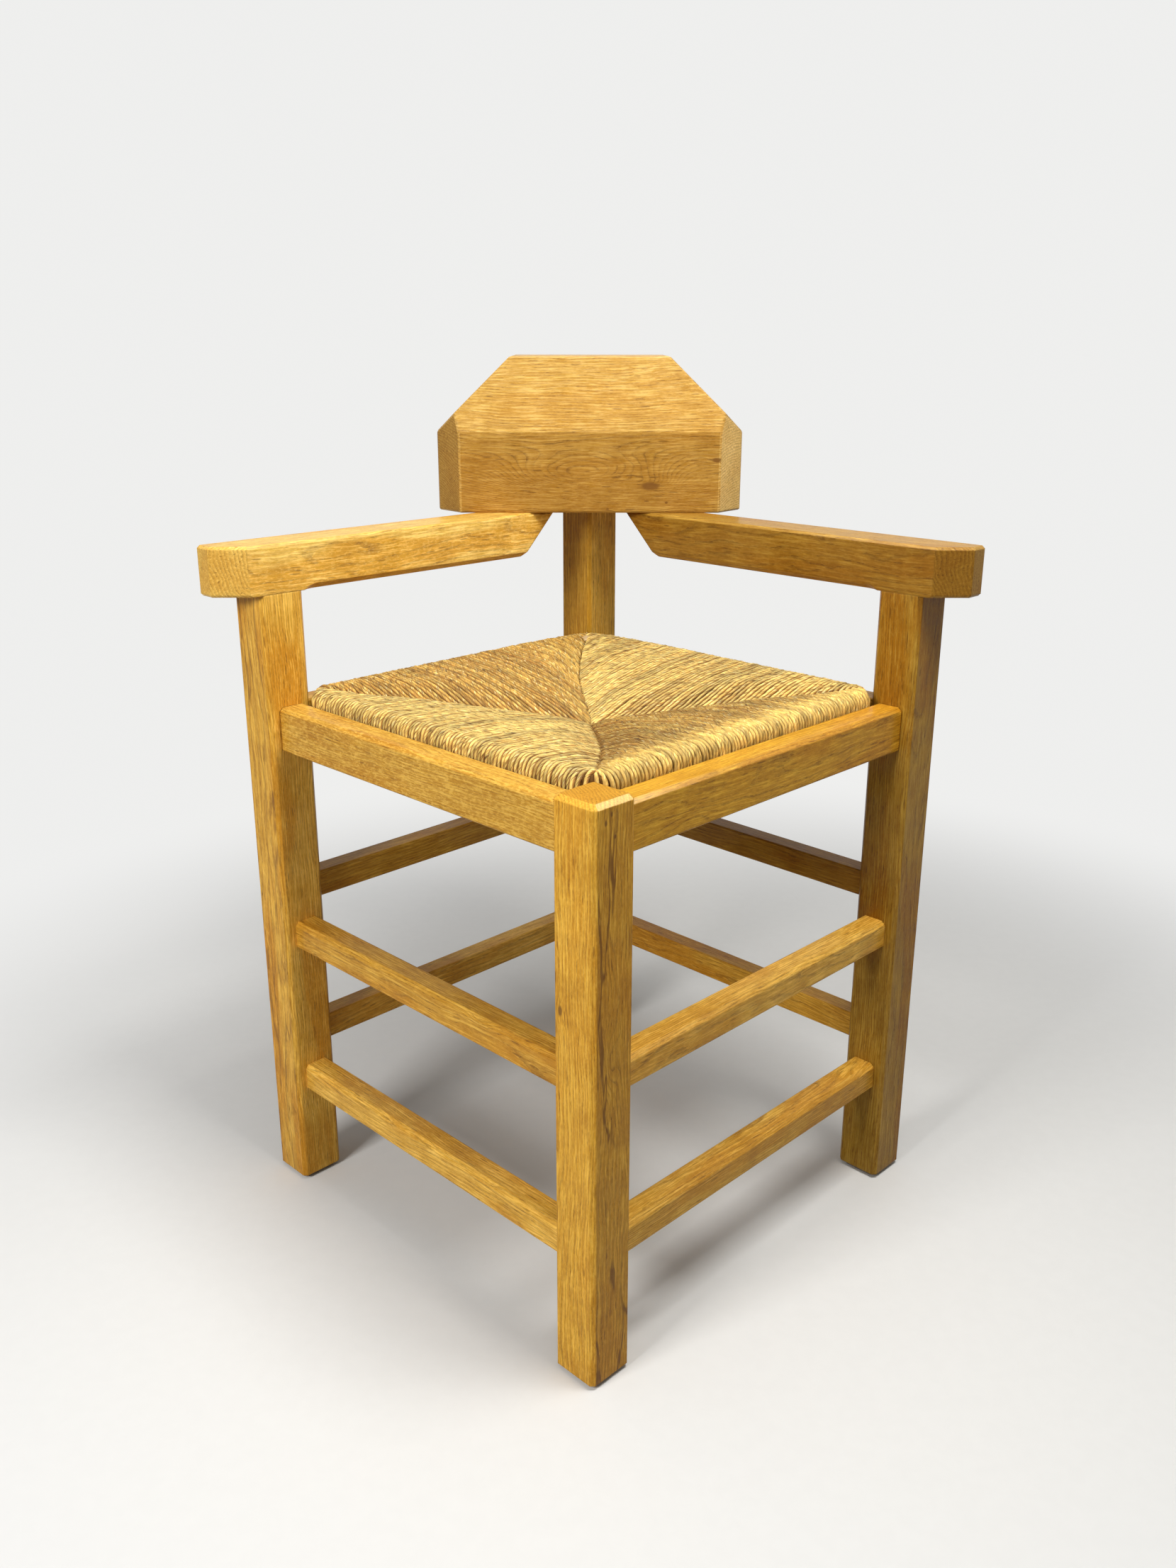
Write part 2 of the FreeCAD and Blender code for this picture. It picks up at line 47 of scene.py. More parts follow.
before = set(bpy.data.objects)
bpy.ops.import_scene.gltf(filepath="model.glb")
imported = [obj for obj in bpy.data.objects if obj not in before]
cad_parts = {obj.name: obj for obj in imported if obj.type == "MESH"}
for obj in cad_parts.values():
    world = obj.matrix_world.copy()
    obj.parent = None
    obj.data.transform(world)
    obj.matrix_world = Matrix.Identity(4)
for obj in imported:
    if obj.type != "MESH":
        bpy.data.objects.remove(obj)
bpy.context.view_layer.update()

# Directions of the chair's plan, which stands turned by 45 degrees
UP = Vector((0, 0, 1))
TO_RIGHT_LEG = Vector((1, 1, 0)).normalized()
TO_LEFT_LEG = Vector((-1, 1, 0)).normalized()
ACROSS = Vector((1, 0, 0))
BACKWARDS = Vector((0, 1, 0))


def box_middle(node):
    """The middle of a node's box."""
    low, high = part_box(node)
    return (low + high) / 2


FRONT_LEG = box_middle("leg_front")
LEG_SPACING = (box_middle("leg_right") - FRONT_LEG).xy.length
LEG_HALF = 0.0225
SEAT_LOW, SEAT_HIGH = (corner.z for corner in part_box("rush_seat"))


# Sizes and colours that a user would change

def colour(name, description, value):
    """A linear colour property."""
    return bpy.props.FloatVectorProperty(name=name, description=description, subtype="COLOR",
                                         size=3, min=0, max=1, default=value)


def length(name, description, value):
    """A length property in metres."""
    return bpy.props.FloatProperty(name=name, description=description, unit="LENGTH",
                                   min=0, precision=5, default=value)


class OakSettings(bpy.types.PropertyGroup):
    """Colours and grain of the oak."""

    pale: colour("Pale oak", "Lightest wood between the growth rings", (0.86, 0.555, 0.112))
    golden: colour("Golden oak", "Main colour of the varnished oak", (0.67, 0.380, 0.037))
    brown: colour("Brown oak", "Late wood and dark streaks", (0.42, 0.188, 0.015))
    amber: colour("Amber oak", "Warm stained patches", (0.60, 0.255, 0.012))
    pore: colour("Pores", "Open pores, cracks and dark cores of knots", (0.17, 0.070, 0.013))
    ring_width: length("Ring width", "Distance between two growth rings", 0.0025)
    pore_length: length("Pore length", "Length of a cut pore along the grain", 0.0085)
    pore_gap: length("Pore gap", "Distance between neighbouring pores", 0.0011)
    edge: length("Worn edge", "Radius to which hand wear has softened the edges", 0.0024)


class RushSettings(bpy.types.PropertyGroup):
    """Strands and colours of the woven seat."""

    strands: bpy.props.IntProperty(name="Strands", description="Strands over each side of the seat",
                                   min=10, default=89)
    strand_radius: length("Strand radius", "Half the thickness of a twisted strand", 0.00206)
    twist: length("Twist", "Length of strand in which the leaves turn once", 0.025)
    straw: colour("Straw", "Pale dried leaf", (0.95, 0.71, 0.215))
    golden: colour("Golden leaf", "Main colour of the rush", (0.76, 0.46, 0.095))
    brown: colour("Brown leaf", "Darker leaf", (0.50, 0.245, 0.040))
    husk: colour("Husk", "Palest slivers of leaf", (1.0, 0.86, 0.44))
    # Dusty brown of the strands' flanks and twist grooves, which also paints the shade there
    dust_and_painted_shade: colour("Dust", "Darkened flanks and grooves of the strands", (0.41, 0.185, 0.038))
    # Dark brown: painted shade deep between and under the strands, and the colour of the dark specks
    shade: colour("Inside", "Rush deep between the strands", (0.105, 0.048, 0.012))


class StageSettings(bpy.types.PropertyGroup):
    """Floor, lamps and camera."""

    floor: colour("Floor", "Plain pale floor", (0.74, 0.74, 0.73))
    background: colour("Background", "Plain pale background", (0.86, 0.86, 0.85))
    focal_length: bpy.props.FloatProperty(name="Focal length", description="Camera lens in millimetres",
                                          min=1, default=30.724)


# Mesh helpers

def put_mesh(name, points, quads, triangles=None, around=None, attributes=None):
    """A closed mesh object from arrays of points, quads and triangles.

    around holds one UV pair for each corner of the quads, then of the triangles.
    attributes maps a name to one number for each point.
    """
    triangles = np.empty((0, 3), dtype=int) if triangles is None else triangles
    mesh = bpy.data.meshes.new(name)
    corners = np.concatenate([quads.ravel(), triangles.ravel()])
    starts = np.concatenate([np.arange(len(quads)) * 4, len(quads) * 4 + np.arange(len(triangles)) * 3])
    mesh.vertices.add(len(points))
    mesh.vertices.foreach_set("co", np.asarray(points, dtype=np.float32).ravel())
    mesh.loops.add(len(corners))
    mesh.loops.foreach_set("vertex_index", corners.astype(np.int32))
    mesh.polygons.add(len(starts))
    mesh.polygons.foreach_set("loop_start", starts.astype(np.int32))
    mesh.polygons.foreach_set("use_smooth", np.ones(len(starts), dtype=bool))
    if around is not None:
        layer = mesh.uv_layers.new(name="around")
        layer.data.foreach_set("uv", np.asarray(around, dtype=np.float32).ravel())
    for key, values in (attributes or {}).items():
        mesh.attributes.new(key, "FLOAT", "POINT").data.foreach_set("value", values.astype(np.float32))
    mesh.update(calc_edges=True)
    mesh.validate()
    piece = bpy.data.objects.new(name, mesh)
    bpy.context.scene.collection.objects.link(piece)
    return piece


def ring_faces(rows, sides):
    """Point numbers of rings that follow one another, the same turned on by one, and the quads between."""
    index = np.arange(rows * sides).reshape(rows, sides)
    after = np.roll(index, -1, axis=1)
    quads = np.stack([index[:-1], index[1:], after[1:], after[:-1]], axis=-1).reshape(-1, 4)
    return index, after, quads


def smooth_step(value, low, high):
    """0 below low, 1 above high and 3t^2 - 2t^3 between them."""
    part = np.clip((value - low) / (high - low), 0, 1)
    return part * part * (3 - 2 * part)


# Materials

class Recipe:
    """The nodes of one material or of the world, added in the order in which the finish is built up."""

    def __init__(self, name, world=False):
        self.owner = (bpy.data.worlds if world else bpy.data.materials).new(name)
        self.owner.use_nodes = True
        self.nodes = self.owner.node_tree.nodes
        self.links = self.owner.node_tree.links
        self.nodes.clear()
        self.output = self.node("OutputWorld" if world else "OutputMaterial")
        if not world:
            self.surface = self.node("BsdfPrincipled")
            self.show(self.surface.outputs["BSDF"])

    def show(self, shader):
        """Sends a shader to the output."""
        self.feed(self.output.inputs["Surface"], shader)

    def feed(self, socket, value):
        """Links another node's output to a socket, or writes a plain value into it."""
        if isinstance(value, bpy.types.NodeSocket):
            self.links.new(value, socket)
        elif value is not None:
            socket.default_value = value

    def feed_named(self, node, values):
        """Feeds the sockets of a node that a dictionary names."""
        for name, value in values.items():
            self.feed(node.inputs[name], value)
        return node

    def node(self, kind, *values, named=(), **modes):
        """A node with its modes set and its sockets fed, the first ones in order and others by name."""
        node = self.nodes.new("ShaderNode" + kind)
        for mode, value in modes.items():
            setattr(node, mode, value)
        for socket, value in zip(node.inputs, values):
            self.feed(socket, value)
        return self.feed_named(node, dict(named))

    def place(self, output="Object"):
        """Object coordinates in metres, or the object's own normal."""
        return self.node("TexCoord").outputs[output]

    def math(self, operation, *values):
        """One number worked out from up to three."""
        return self.node("Math", *values, operation=operation).outputs[0]

    def times(self, first, second):
        """The product of two numbers."""
        return self.math("MULTIPLY", first, second)

    def off_middle(self, noise):
        """How far a noise is from its middle value."""
        return self.math("ABSOLUTE", self.math("SUBTRACT", noise, 0.5))

    def vector(self, operation, *values):
        """One vector or number worked out from two vectors."""
        node = self.node("VectorMath", *values, operation=operation)
        single = operation in ("LENGTH", "DOT_PRODUCT")
        return node.outputs["Value" if single else "Vector"]

    def scaled(self, vector, factors):
        """A vector times one factor, or times a factor for each of its numbers."""
        return self.vector("MULTIPLY", vector, (factors,) * 3 if isinstance(factors, float) else factors)

    def join(self, x, y, z):
        """A vector from three numbers."""
        return self.node("CombineXYZ", x, y, z).outputs[0]

    def split(self, vector):
        """The three numbers of a vector."""
        return self.node("SeparateXYZ", vector).outputs

    def noise(self, place, detail=2.0, roughness=0.5, output="Fac"):
        """Smooth noise, one unit from lump to lump."""
        return self.node("TexNoise", named={"Vector": place, "Scale": 1.0, "Detail": detail,
                                            "Roughness": roughness}).outputs[output]

    def cells(self, place):
        """Distance to the nearest of scattered points, one unit apart."""
        return self.node("TexVoronoi", named={"Vector": place, "Scale": 1.0}).outputs["Distance"]

    def stretched(self, place, pattern):
        """A place scaled to a pattern's repeats along the grain and across it."""
        along, across = pattern
        return self.scaled(place, (along, across, across))

    def grain(self, place, pattern, detail, roughness, output="Fac"):
        """Noise with a pattern's repeats along the grain and across it."""
        return self.noise(self.stretched(place, pattern), detail, roughness, output)

    def wobble(self, place, pattern, detail, roughness, reach):
        """Noise that pushes a point across the grain, by half of reach each way."""
        push = self.grain(place, pattern, detail, roughness, "Color")
        return self.scaled(self.vector("SUBTRACT", push, (0.5, 0.5, 0.5)), (0.0, reach, reach))

    def between(self, value, low, high, start=0.0, end=1.0):
        """A smooth change from start at low to end at high."""
        return self.node("MapRange", value, low, high, start, end, interpolation_type="SMOOTHSTEP").outputs[0]

    def mix(self, share, first, second, blend="MIX"):
        """Two colours mixed by a share."""
        node = self.node("Mix", share, data_type="RGBA", blend_type=blend)
        for socket, value in ((node.inputs[6], first), (node.inputs[7], second)):
            self.feed(socket, value if isinstance(value, bpy.types.NodeSocket) else (*value, 1.0))
        return node.outputs[2]

    def layers(self, base, *coats):
        """A base colour with further colours laid over it, each by its own share."""
        for share, coat in coats:
            base = self.mix(share, base, coat)
        return base

    def turned(self, along, across, origin):
        """Object coordinates measured along a direction, across it and square to both."""
        turn = Matrix((along, across, along.cross(across)))
        return self.node("Mapping", named={"Vector": self.place(), "Rotation": turn.to_euler("XYZ"),
                                           "Location": -(turn @ origin)}).outputs[0]

    def relief(self, height, depth, strength, normal=None):
        """Bump of a given depth in metres."""
        return self.node("Bump", named={"Strength": strength, "Distance": depth, "Height": height,
                                        "Normal": normal}).outputs[0]

    def softened_edges(self, radius):
        """Normals rounded over at the edges."""
        return self.node("Bevel", named={"Radius": radius}, samples=4).outputs[0]

    def finish(self, base, roughness, normal, constants):
        """Feeds the surface. Constants are written on its own sockets."""
        self.feed_named(self.surface, {"Base Color": base, "Roughness": roughness, "Normal": normal,
                                       **constants})
        return self.owner

    def background_rays(self):
        """1 for the rays that should see the plain background: of the camera, of gloss and of glass."""
        rays = self.node("LightPath").outputs
        either = self.math("MAXIMUM", rays["Is Camera Ray"], rays["Is Glossy Ray"])
        return self.math("MAXIMUM", either, rays["Is Transmission Ray"])


VARNISH = {"Coat Weight": 0.12, "Coat Roughness": 0.12, "Specular IOR Level": 0.08}
DRY_LEAF = {"Specular IOR Level": 0.25}
FUZZ = {"Sheen Weight": 0.3, "Sheen Roughness": 0.6}
METAL = {"Metallic": 1.0}


def dress(node, material):
    """Gives a chair node its material."""
    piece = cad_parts[node]
    if not piece.material_slots:
        piece.data.materials.append(material)
    for place in piece.material_slots:
        place.material = material


@dataclass
class Knot:
    """A knot: its middle, its reach along and across the grain, how far it pushes the rings, and the
    size of its dark core."""

    middle: tuple
    along: float
    across: float
    push: float
    core: float = 0.0


@dataclass
class Cut:
    """How one piece was cut from the tree.

    grain is the direction of the wood's length and across a direction square to it. pith is where the
    tree's middle lies, across the piece and square to it, from the piece's own middle. seed moves the
    pattern, tone is the lightness, and fleck and patches say how strong those marks are. tone and tint
    are partly the oak's own colour and partly painted light and shade. shades lists directions whose
    faces are painted lighter or darker than the rest, as light and shade, with their factors and how
    nearly a face has to look that way. joint is how far from the middle the bar enters its legs, where a
    dark joint line is drawn: varnish and grime in the joint, and painted shade in the crevice. checks are
    drying cracks: how dark they are, and the direction of the face that has them. tint multiplies the colour.
    """

    grain: Vector
    across: Vector
    pith: tuple
    seed: float
    tone: float
    fleck: float
    patches: float
    painted_face_light: tuple = ()
    knots: tuple = ()
    joint: float = None
    checks: tuple = None
    tint: tuple = (1.0, 1.0, 1.0)


# How often each of the oak's patterns repeats in a metre, along the grain and across it
SLOW_BENDS = (4.5, 16.0)
SMALL_BENDS = (28.0, 90.0)
KNOT_RIMS = (160.0, 260.0)
RING_BREAKS = (34.0, 110.0)
STREAKS = (24.0, 600.0)
FIBRES = (46.0, 1100.0)
PATCHES = (5.0, 24.0)
RIPPLES = (42.0, 14.0)
FLECKS = (210.0, 480.0)
DASHES = (28.0, 240.0)
CRACKS = (6.0, 62.0)

SLOW_BEND = 0.020
SMALL_BEND = 0.0026
TAPER = 0.03
SEED_STEP = (1.37, 0.71, 0.53)
END_GRAIN = (0.4, 0.7)
# The dark joint line begins this far back from a bar's end and is full this far back: varnish and grime in
# the joint, and painted shade in the crevice
JOINT_LINE = (0.0018, 0.0003)
PORE_DEPTH = 0.00035


def ring_distance(recipe, cut, origin, place, moved, bent, shift):
    """Distance to the tree's pith, with each knot's swell added, and how much of a knot's core shows.

    A knot's swell is push times exp(-d^2), with d the distance to the knot in its own reaches.
    """
    from_pith = recipe.vector("SUBTRACT", bent, (shift[0], shift[1] + cut.pith[0], shift[2] + cut.pith[1]))
    radius = recipe.vector("LENGTH", recipe.stretched(from_pith, (TAPER, 1.0)))
    turn = Matrix((cut.grain, cut.across, cut.grain.cross(cut.across)))
    core = None
    for knot in cut.knots:
        away = recipe.vector("SUBTRACT", place, turn @ (Vector(knot.middle) - origin))
        far = recipe.vector("LENGTH", recipe.stretched(away, (1 / knot.along, 1 / knot.across)))
        swell = recipe.math("EXPONENT", recipe.times(recipe.times(far, far), -1.0))
        radius = recipe.math("MULTIPLY_ADD", swell, knot.push, radius)
        if knot.core:
            wavy = recipe.grain(moved, KNOT_RIMS, 3.0, 0.6)
            wavy = recipe.math("MULTIPLY_ADD", wavy, 0.5 * knot.core, far)
            dark = recipe.between(wavy, 0.75 * knot.core, 1.35 * knot.core, 1.0, 0.0)
            core = dark if core is None else recipe.math("MAXIMUM", core, dark)
    return radius, core


def cracks(recipe, checks, bent, patch, facing):
    """Drying cracks along the grain, on the faces that look in one direction."""
    depth, direction = checks
    level = recipe.off_middle(recipe.grain(bent, CRACKS, 3.0, 0.5))
    crack = recipe.between(level, 0.006, 0.034, depth, 0.0)
    crack = recipe.times(crack, recipe.between(patch, 0.34, 0.50))
    towards = recipe.vector("DOT_PRODUCT", facing, direction)
    return recipe.times(crack, recipe.between(towards, 0.70, 0.95))


def shading(recipe, cut, place, facing, end, ripple):
    """The piece's lightness: tone and ripple, painted light and shade on some faces, and dark joint lines."""
    between, times = recipe.between, recipe.times
    light = between(ripple, 0.3, 0.7, 0.93 * cut.tone, 1.06 * cut.tone)
    light = times(light, between(end, 0.6, 0.95, 1.0, 0.84))
    # Painted light and shade: faces that look in the listed directions are made lighter or darker
    for direction, factor, near in cut.painted_face_light:
        towards = recipe.vector("DOT_PRODUCT", facing, direction)
        light = times(light, between(towards, 2 * near - 1, near, 1.0, factor))
    # A dark line where the bar enters its legs: varnish and grime in the joint, and painted shade in the
    # crevice
    if cut.joint:
        run = recipe.math("ABSOLUTE", recipe.split(place)[0])
        outer, inner = (cut.joint - gap for gap in JOINT_LINE)
        light = times(light, between(run, outer, inner, 1.0, 0.42))
    return light


def oak(node, cut):
    """Varnished oak for one piece, as it was cut from the tree.

    The distance from the tree's pith, bent by slow noise and pushed aside by knots, gives the rings.
    Long thin cells along the grain give the pores, thickest in each ring's early wood. Finer noise
    gives the fibre, and noise across the grain the rays' flecks.
    """
    look = bpy.context.scene.chair_oak
    recipe = Recipe("oak_" + node)
    between, times, grain = recipe.between, recipe.times, recipe.grain
    origin = box_middle(node)
    place = recipe.turned(cut.grain, cut.across, origin)
    shift = tuple(cut.seed * step for step in SEED_STEP)
    moved = recipe.vector("ADD", place, shift)
    bend = recipe.wobble(moved, SLOW_BENDS, 2.0, 0.45, SLOW_BEND)
    small_bend = recipe.wobble(moved, SMALL_BENDS, 2.0, 0.5, SMALL_BEND)
    bent = recipe.vector("ADD", recipe.vector("ADD", moved, bend), small_bend)

    radius, core = ring_distance(recipe, cut, origin, place, moved, bent, shift)
    rings = recipe.math("FRACT", recipe.math("DIVIDE", radius, look.ring_width))
    late = between(rings, 0.45, 0.97)
    early = times(between(rings, 0.0, 0.05), between(rings, 0.07, 0.40, 1.0, 0.0))
    broken = grain(bent, RING_BREAKS, 2.0, 0.6)
    early = times(early, between(broken, 0.34, 0.60, 0.25, 1.0))

    streak = grain(bent, STREAKS, 5.0, 0.66)
    per_pore = (1 / look.pore_length, 1 / look.pore_gap)
    pores = between(recipe.cells(recipe.stretched(bent, per_pore)), 0.18, 0.32, 1.0, 0.0)
    per_fine_pore = (2.1 / look.pore_length, 2.3 / look.pore_gap)
    fine_pores = between(recipe.cells(recipe.stretched(bent, per_fine_pore)), 0.18, 0.34, 0.65, 0.0)
    crowded = recipe.math("MULTIPLY_ADD", early, 0.75, between(streak, 0.35, 0.62, 0.45, 0.05))
    pores = recipe.math("MAXIMUM", times(pores, crowded), times(fine_pores, crowded))

    fibre = grain(bent, FIBRES, 4.0, 0.7)
    patch = grain(moved, PATCHES, 2.0, 0.55)
    ripple = grain(moved, RIPPLES, 2.0, 0.5)
    fleck = grain(bent, FLECKS, 3.0, 0.65)
    dash = between(recipe.cells(recipe.stretched(bent, DASHES)), 0.12, 0.20, 0.58, 0.0)
    facing = recipe.place("Normal")
    end = recipe.math("ABSOLUTE", recipe.vector("DOT_PRODUCT", facing, cut.grain))

    base = recipe.layers(
        look.golden,
        (between(fibre, 0.32, 0.66), look.pale),
        (between(patch, 0.48, 0.60, 0.0, cut.patches), look.amber),
        (between(streak, 0.40, 0.52, 0.56, 0.0), look.brown),
        (between(streak, 0.54, 0.65, 0.0, 0.60), look.pale),
        (between(recipe.off_middle(streak), 0.01, 0.07, 0.32, 0.0), look.brown),
        (between(end, *END_GRAIN, 0.0, 0.32), look.pale),
        (times(late, between(end, *END_GRAIN, 0.26, 0.42)), look.brown),
        (times(early, between(end, *END_GRAIN, 0.44, 0.45)), look.pore),
        (times(dash, between(patch, 0.36, 0.56, 0.35, 1.0)), look.pore),
        (between(fleck, 0.51, 0.60, 0.0, cut.fleck), look.pale),
        (between(fleck, 0.40, 0.48, 0.6 * cut.fleck, 0.0), look.brown))
    if cut.checks:
        base = recipe.layers(base, (cracks(recipe, cut.checks, bent, patch, facing), look.pore))
    base = recipe.layers(base, (times(pores, 0.72), look.pore))

    # Darker wood and painted shade are also redder, so green and blue fall faster than red
    light = shading(recipe, cut, place, facing, end, ripple)
    warm = recipe.join(light, recipe.math("POWER", light, 1.3), recipe.math("POWER", light, 2.2))
    base = recipe.mix(1.0, base, recipe.scaled(warm, cut.tint), "MULTIPLY")
    if core is not None:
        base = recipe.layers(base, (times(core, 0.85), look.pore))

    height = recipe.math("MULTIPLY_ADD", pores, -1.0, times(fibre, 0.35))
    height = times(height, between(end, 0.4, 0.65, 1.0, 0.10))
    normal = recipe.relief(height, PORE_DEPTH, 0.45, recipe.softened_edges(look.edge))
    roughness = recipe.math("MULTIPLY_ADD", pores, 0.25, between(ripple, 0.2, 0.8, 0.36, 0.46))
    return recipe.finish(base, roughness, normal, VARNISH)


def plain_wood(name, grain, across, origin, pale, dark, ring_width):
    """Unvarnished wood with wide soft rings, used where nothing shows."""
    recipe = Recipe(name)
    place = recipe.turned(grain, across, origin)
    bent = recipe.vector("ADD", place, recipe.wobble(place, (5.0, 30.0), 2.0, 0.5, 0.012))
    from_pith = recipe.vector("ADD", recipe.stretched(bent, (0.02, 1.0)), (0.0, 0.03, 0.05))
    rings = recipe.math("FRACT", recipe.math("DIVIDE", recipe.vector("LENGTH", from_pith), ring_width))
    fibre = recipe.grain(bent, (20.0, 700.0), 3.0, 0.6)
    base = recipe.layers(pale, (recipe.times(recipe.between(rings, 0.3, 0.95), 0.5), dark),
                         (recipe.between(fibre, 0.4, 0.75, 0.0, 0.3), dark))
    dull = recipe.between(fibre, 0.3, 0.7, 0.6, 0.75)
    return recipe.finish(base, dull, recipe.relief(fibre, 0.0002, 0.4), {})


# How far along a strand its roll over the frame begins and ends, in metres from the seat's middle
ROLL_BEGINS = (0.145, 0.190)
ROLL_ENDS = (0.215, 0.240)


def rush(name, straw_share, brown_share, light, painted_roll_light=1.0):
    """Dried leaves twisted into strands.

    The strand's own map gives the angle round it and the length along it. Turning that angle with the
    length carries long thin noise round the strand as its leaves do. Each strand has its own tone.
    straw_share, brown_share and light paint the light and shade that fall differently on each side.
    painted_roll_light is painted light on the roll over the frame: it lightens the roll, and makes it paler
    where it is more than 1.
    """
    look = bpy.context.scene.chair_rush
    recipe = Recipe(name)
    between, times = recipe.between, recipe.times
    share, run, _ = recipe.split(recipe.node("UVMap", uv_map="around").outputs[0])
    tone = recipe.node("Attribute", attribute_name="tone").outputs["Fac"]
    uneven = recipe.math("FRACT", times(tone, 7.31))
    once = math.tau / look.twist
    tightness = between(uneven, 0.0, 1.0, 0.8 * once, 1.25 * once)
    angle = times(recipe.math("ADD", share, tone), math.tau)
    angle = recipe.math("MULTIPLY_ADD", run, tightness, angle)
    cosine = recipe.math("COSINE", angle)
    sine = recipe.math("SINE", angle)
    strand = times(tone, 91.7)

    def on_leaf(width, along):
        deep = recipe.math("MULTIPLY_ADD", sine, width, strand)
        return recipe.join(times(cosine, width), deep, times(run, along))

    fibre = recipe.noise(on_leaf(2.6, 50.0), 3.0, 0.6)
    blade = recipe.noise(on_leaf(0.75, 26.0))
    speck = recipe.noise(on_leaf(1.0, 75.0))
    stain = recipe.noise(on_leaf(0.3, 11.0))
    sliver = between(recipe.cells(on_leaf(0.9, 75.0)), 0.16, 0.30, 1.0, 0.0)
    sway = recipe.math("MULTIPLY_ADD", stain, 5.0, angle)
    groove = between(recipe.math("ABSOLUTE", recipe.math("SINE", sway)), 0.05, 0.42, 1.0, 0.0)
    groove = times(groove, between(fibre, 0.35, 0.60, 1.0, 0.30))
    flank = recipe.math("ABSOLUTE", recipe.math("SINE", times(share, math.tau)))
    rolled = times(between(run, *ROLL_BEGINS), between(run, *ROLL_ENDS, 1.0, 0.0))

    # Each side's straw and brown shares paint that side's light and shade
    base = recipe.layers(
        look.golden,
        (between(blade, 0.62 - straw_share * 0.4, 0.80 - straw_share * 0.4), look.straw),
        (between(tone, 0.55, 1.0, 0.0, brown_share), look.brown),
        (between(stain, 0.52, 0.72, 0.0, brown_share), look.brown),
        (between(fibre, 0.34, 0.50, 0.80, 0.0), look.brown),
        (between(fibre, 0.56, 0.70, 0.0, 0.65), look.straw),
        (times(sliver, 0.75), look.husk),
        # Dark specks: marks on the leaves, and painted shade of small gaps
        (between(speck, 0.61, 0.69, 0.0, 0.88), look.shade),
        # Grooves and flanks get the dusty brown: dust in them, and painted shade in the creases and between
        # the strands
        (times(groove, 0.78), look.dust_and_painted_shade),
        (between(flank, 0.50, 0.92, 0.0, 0.92), look.dust_and_painted_shade))
    # Painted light: the roll over the frame is paler
    if painted_roll_light > 1:
        base = recipe.layers(base, (times(rolled, 0.40), look.straw))
    # The strands' own tone and the cloud's patches, times each side's lightness and the roll's, which are
    # painted light and shade
    shaded = between(uneven, 0.0, 1.0, 0.76 * light, 1.18 * light)
    cloud = recipe.noise(recipe.scaled(recipe.place(), 95.0), 3.0, 0.6)
    shaded = times(shaded, between(cloud, 0.38, 0.62, 0.84, 1.14))
    shaded = times(shaded, between(rolled, 0.0, 1.0, 1.0, painted_roll_light))
    base = recipe.mix(1.0, base, recipe.join(shaded, shaded, shaded), "MULTIPLY")

    height = recipe.math("MULTIPLY_ADD", blade, 0.9, fibre)
    normal = recipe.relief(recipe.math("MULTIPLY_ADD", groove, -0.9, height), 0.0012, 0.9)
    return recipe.finish(base, between(fibre, 0.3, 0.7, 0.60, 0.40), normal, DRY_LEAF)


def rush_inside():
    """Loose stuffing and strand backs under the visible strands, in a dark colour that is painted shade."""
    recipe = Recipe("rush_inside")
    look = bpy.context.scene.chair_rush
    lumps = recipe.noise(recipe.scaled(recipe.place(), 420.0), 3.0, 0.6)
    base = recipe.layers(look.shade, (recipe.between(lumps, 0.45, 0.75, 0.0, 0.25), look.brown))
    return recipe.finish(base, 0.9, recipe.relief(lumps, 0.001, 0.6), {"Specular IOR Level": 0.1})


def felt():
    """Grey-brown felt of tangled fibres."""
    recipe = Recipe("felt_pad")
    place = recipe.place()
    tangle = recipe.noise(recipe.scaled(place, (1800.0, 1800.0, 900.0)), 4.0, 0.65)
    cloud = recipe.noise(recipe.scaled(place, 160.0))
    base = recipe.layers((0.085, 0.070, 0.056), (recipe.between(tangle, 0.35, 0.65), (0.19, 0.165, 0.135)),
                         (recipe.between(cloud, 0.4, 0.7, 0.0, 0.4), (0.12, 0.10, 0.08)))
    return recipe.finish(base, 0.95, recipe.relief(tangle, 0.0006, 0.8), FUZZ)


def zinc():
    """Zinc-plated steel with faint spangle."""
    recipe = Recipe("zinc_screw")
    spangle = recipe.noise(recipe.scaled(recipe.place(), 900.0), 3.0, 0.6)
    base = recipe.layers((0.52, 0.53, 0.54), (recipe.between(spangle, 0.35, 0.65), (0.66, 0.67, 0.68)))
    dull = recipe.between(spangle, 0.3, 0.7, 0.28, 0.42)
    return recipe.finish(base, dull, recipe.relief(spangle, 0.0001, 0.3), METAL)


# How each oak piece was cut

BAR_END = LEG_SPACING / 2 - LEG_HALF
FORWARDS = -BACKWARDS
FACING_FRONT_LEFT = -TO_RIGHT_LEG
FACING_FRONT_RIGHT = -TO_LEFT_LEG
LEFT_BEVEL = Vector((-0.757, -0.653, 0))
RIGHT_BEVEL = Vector((0.757, -0.653, 0))

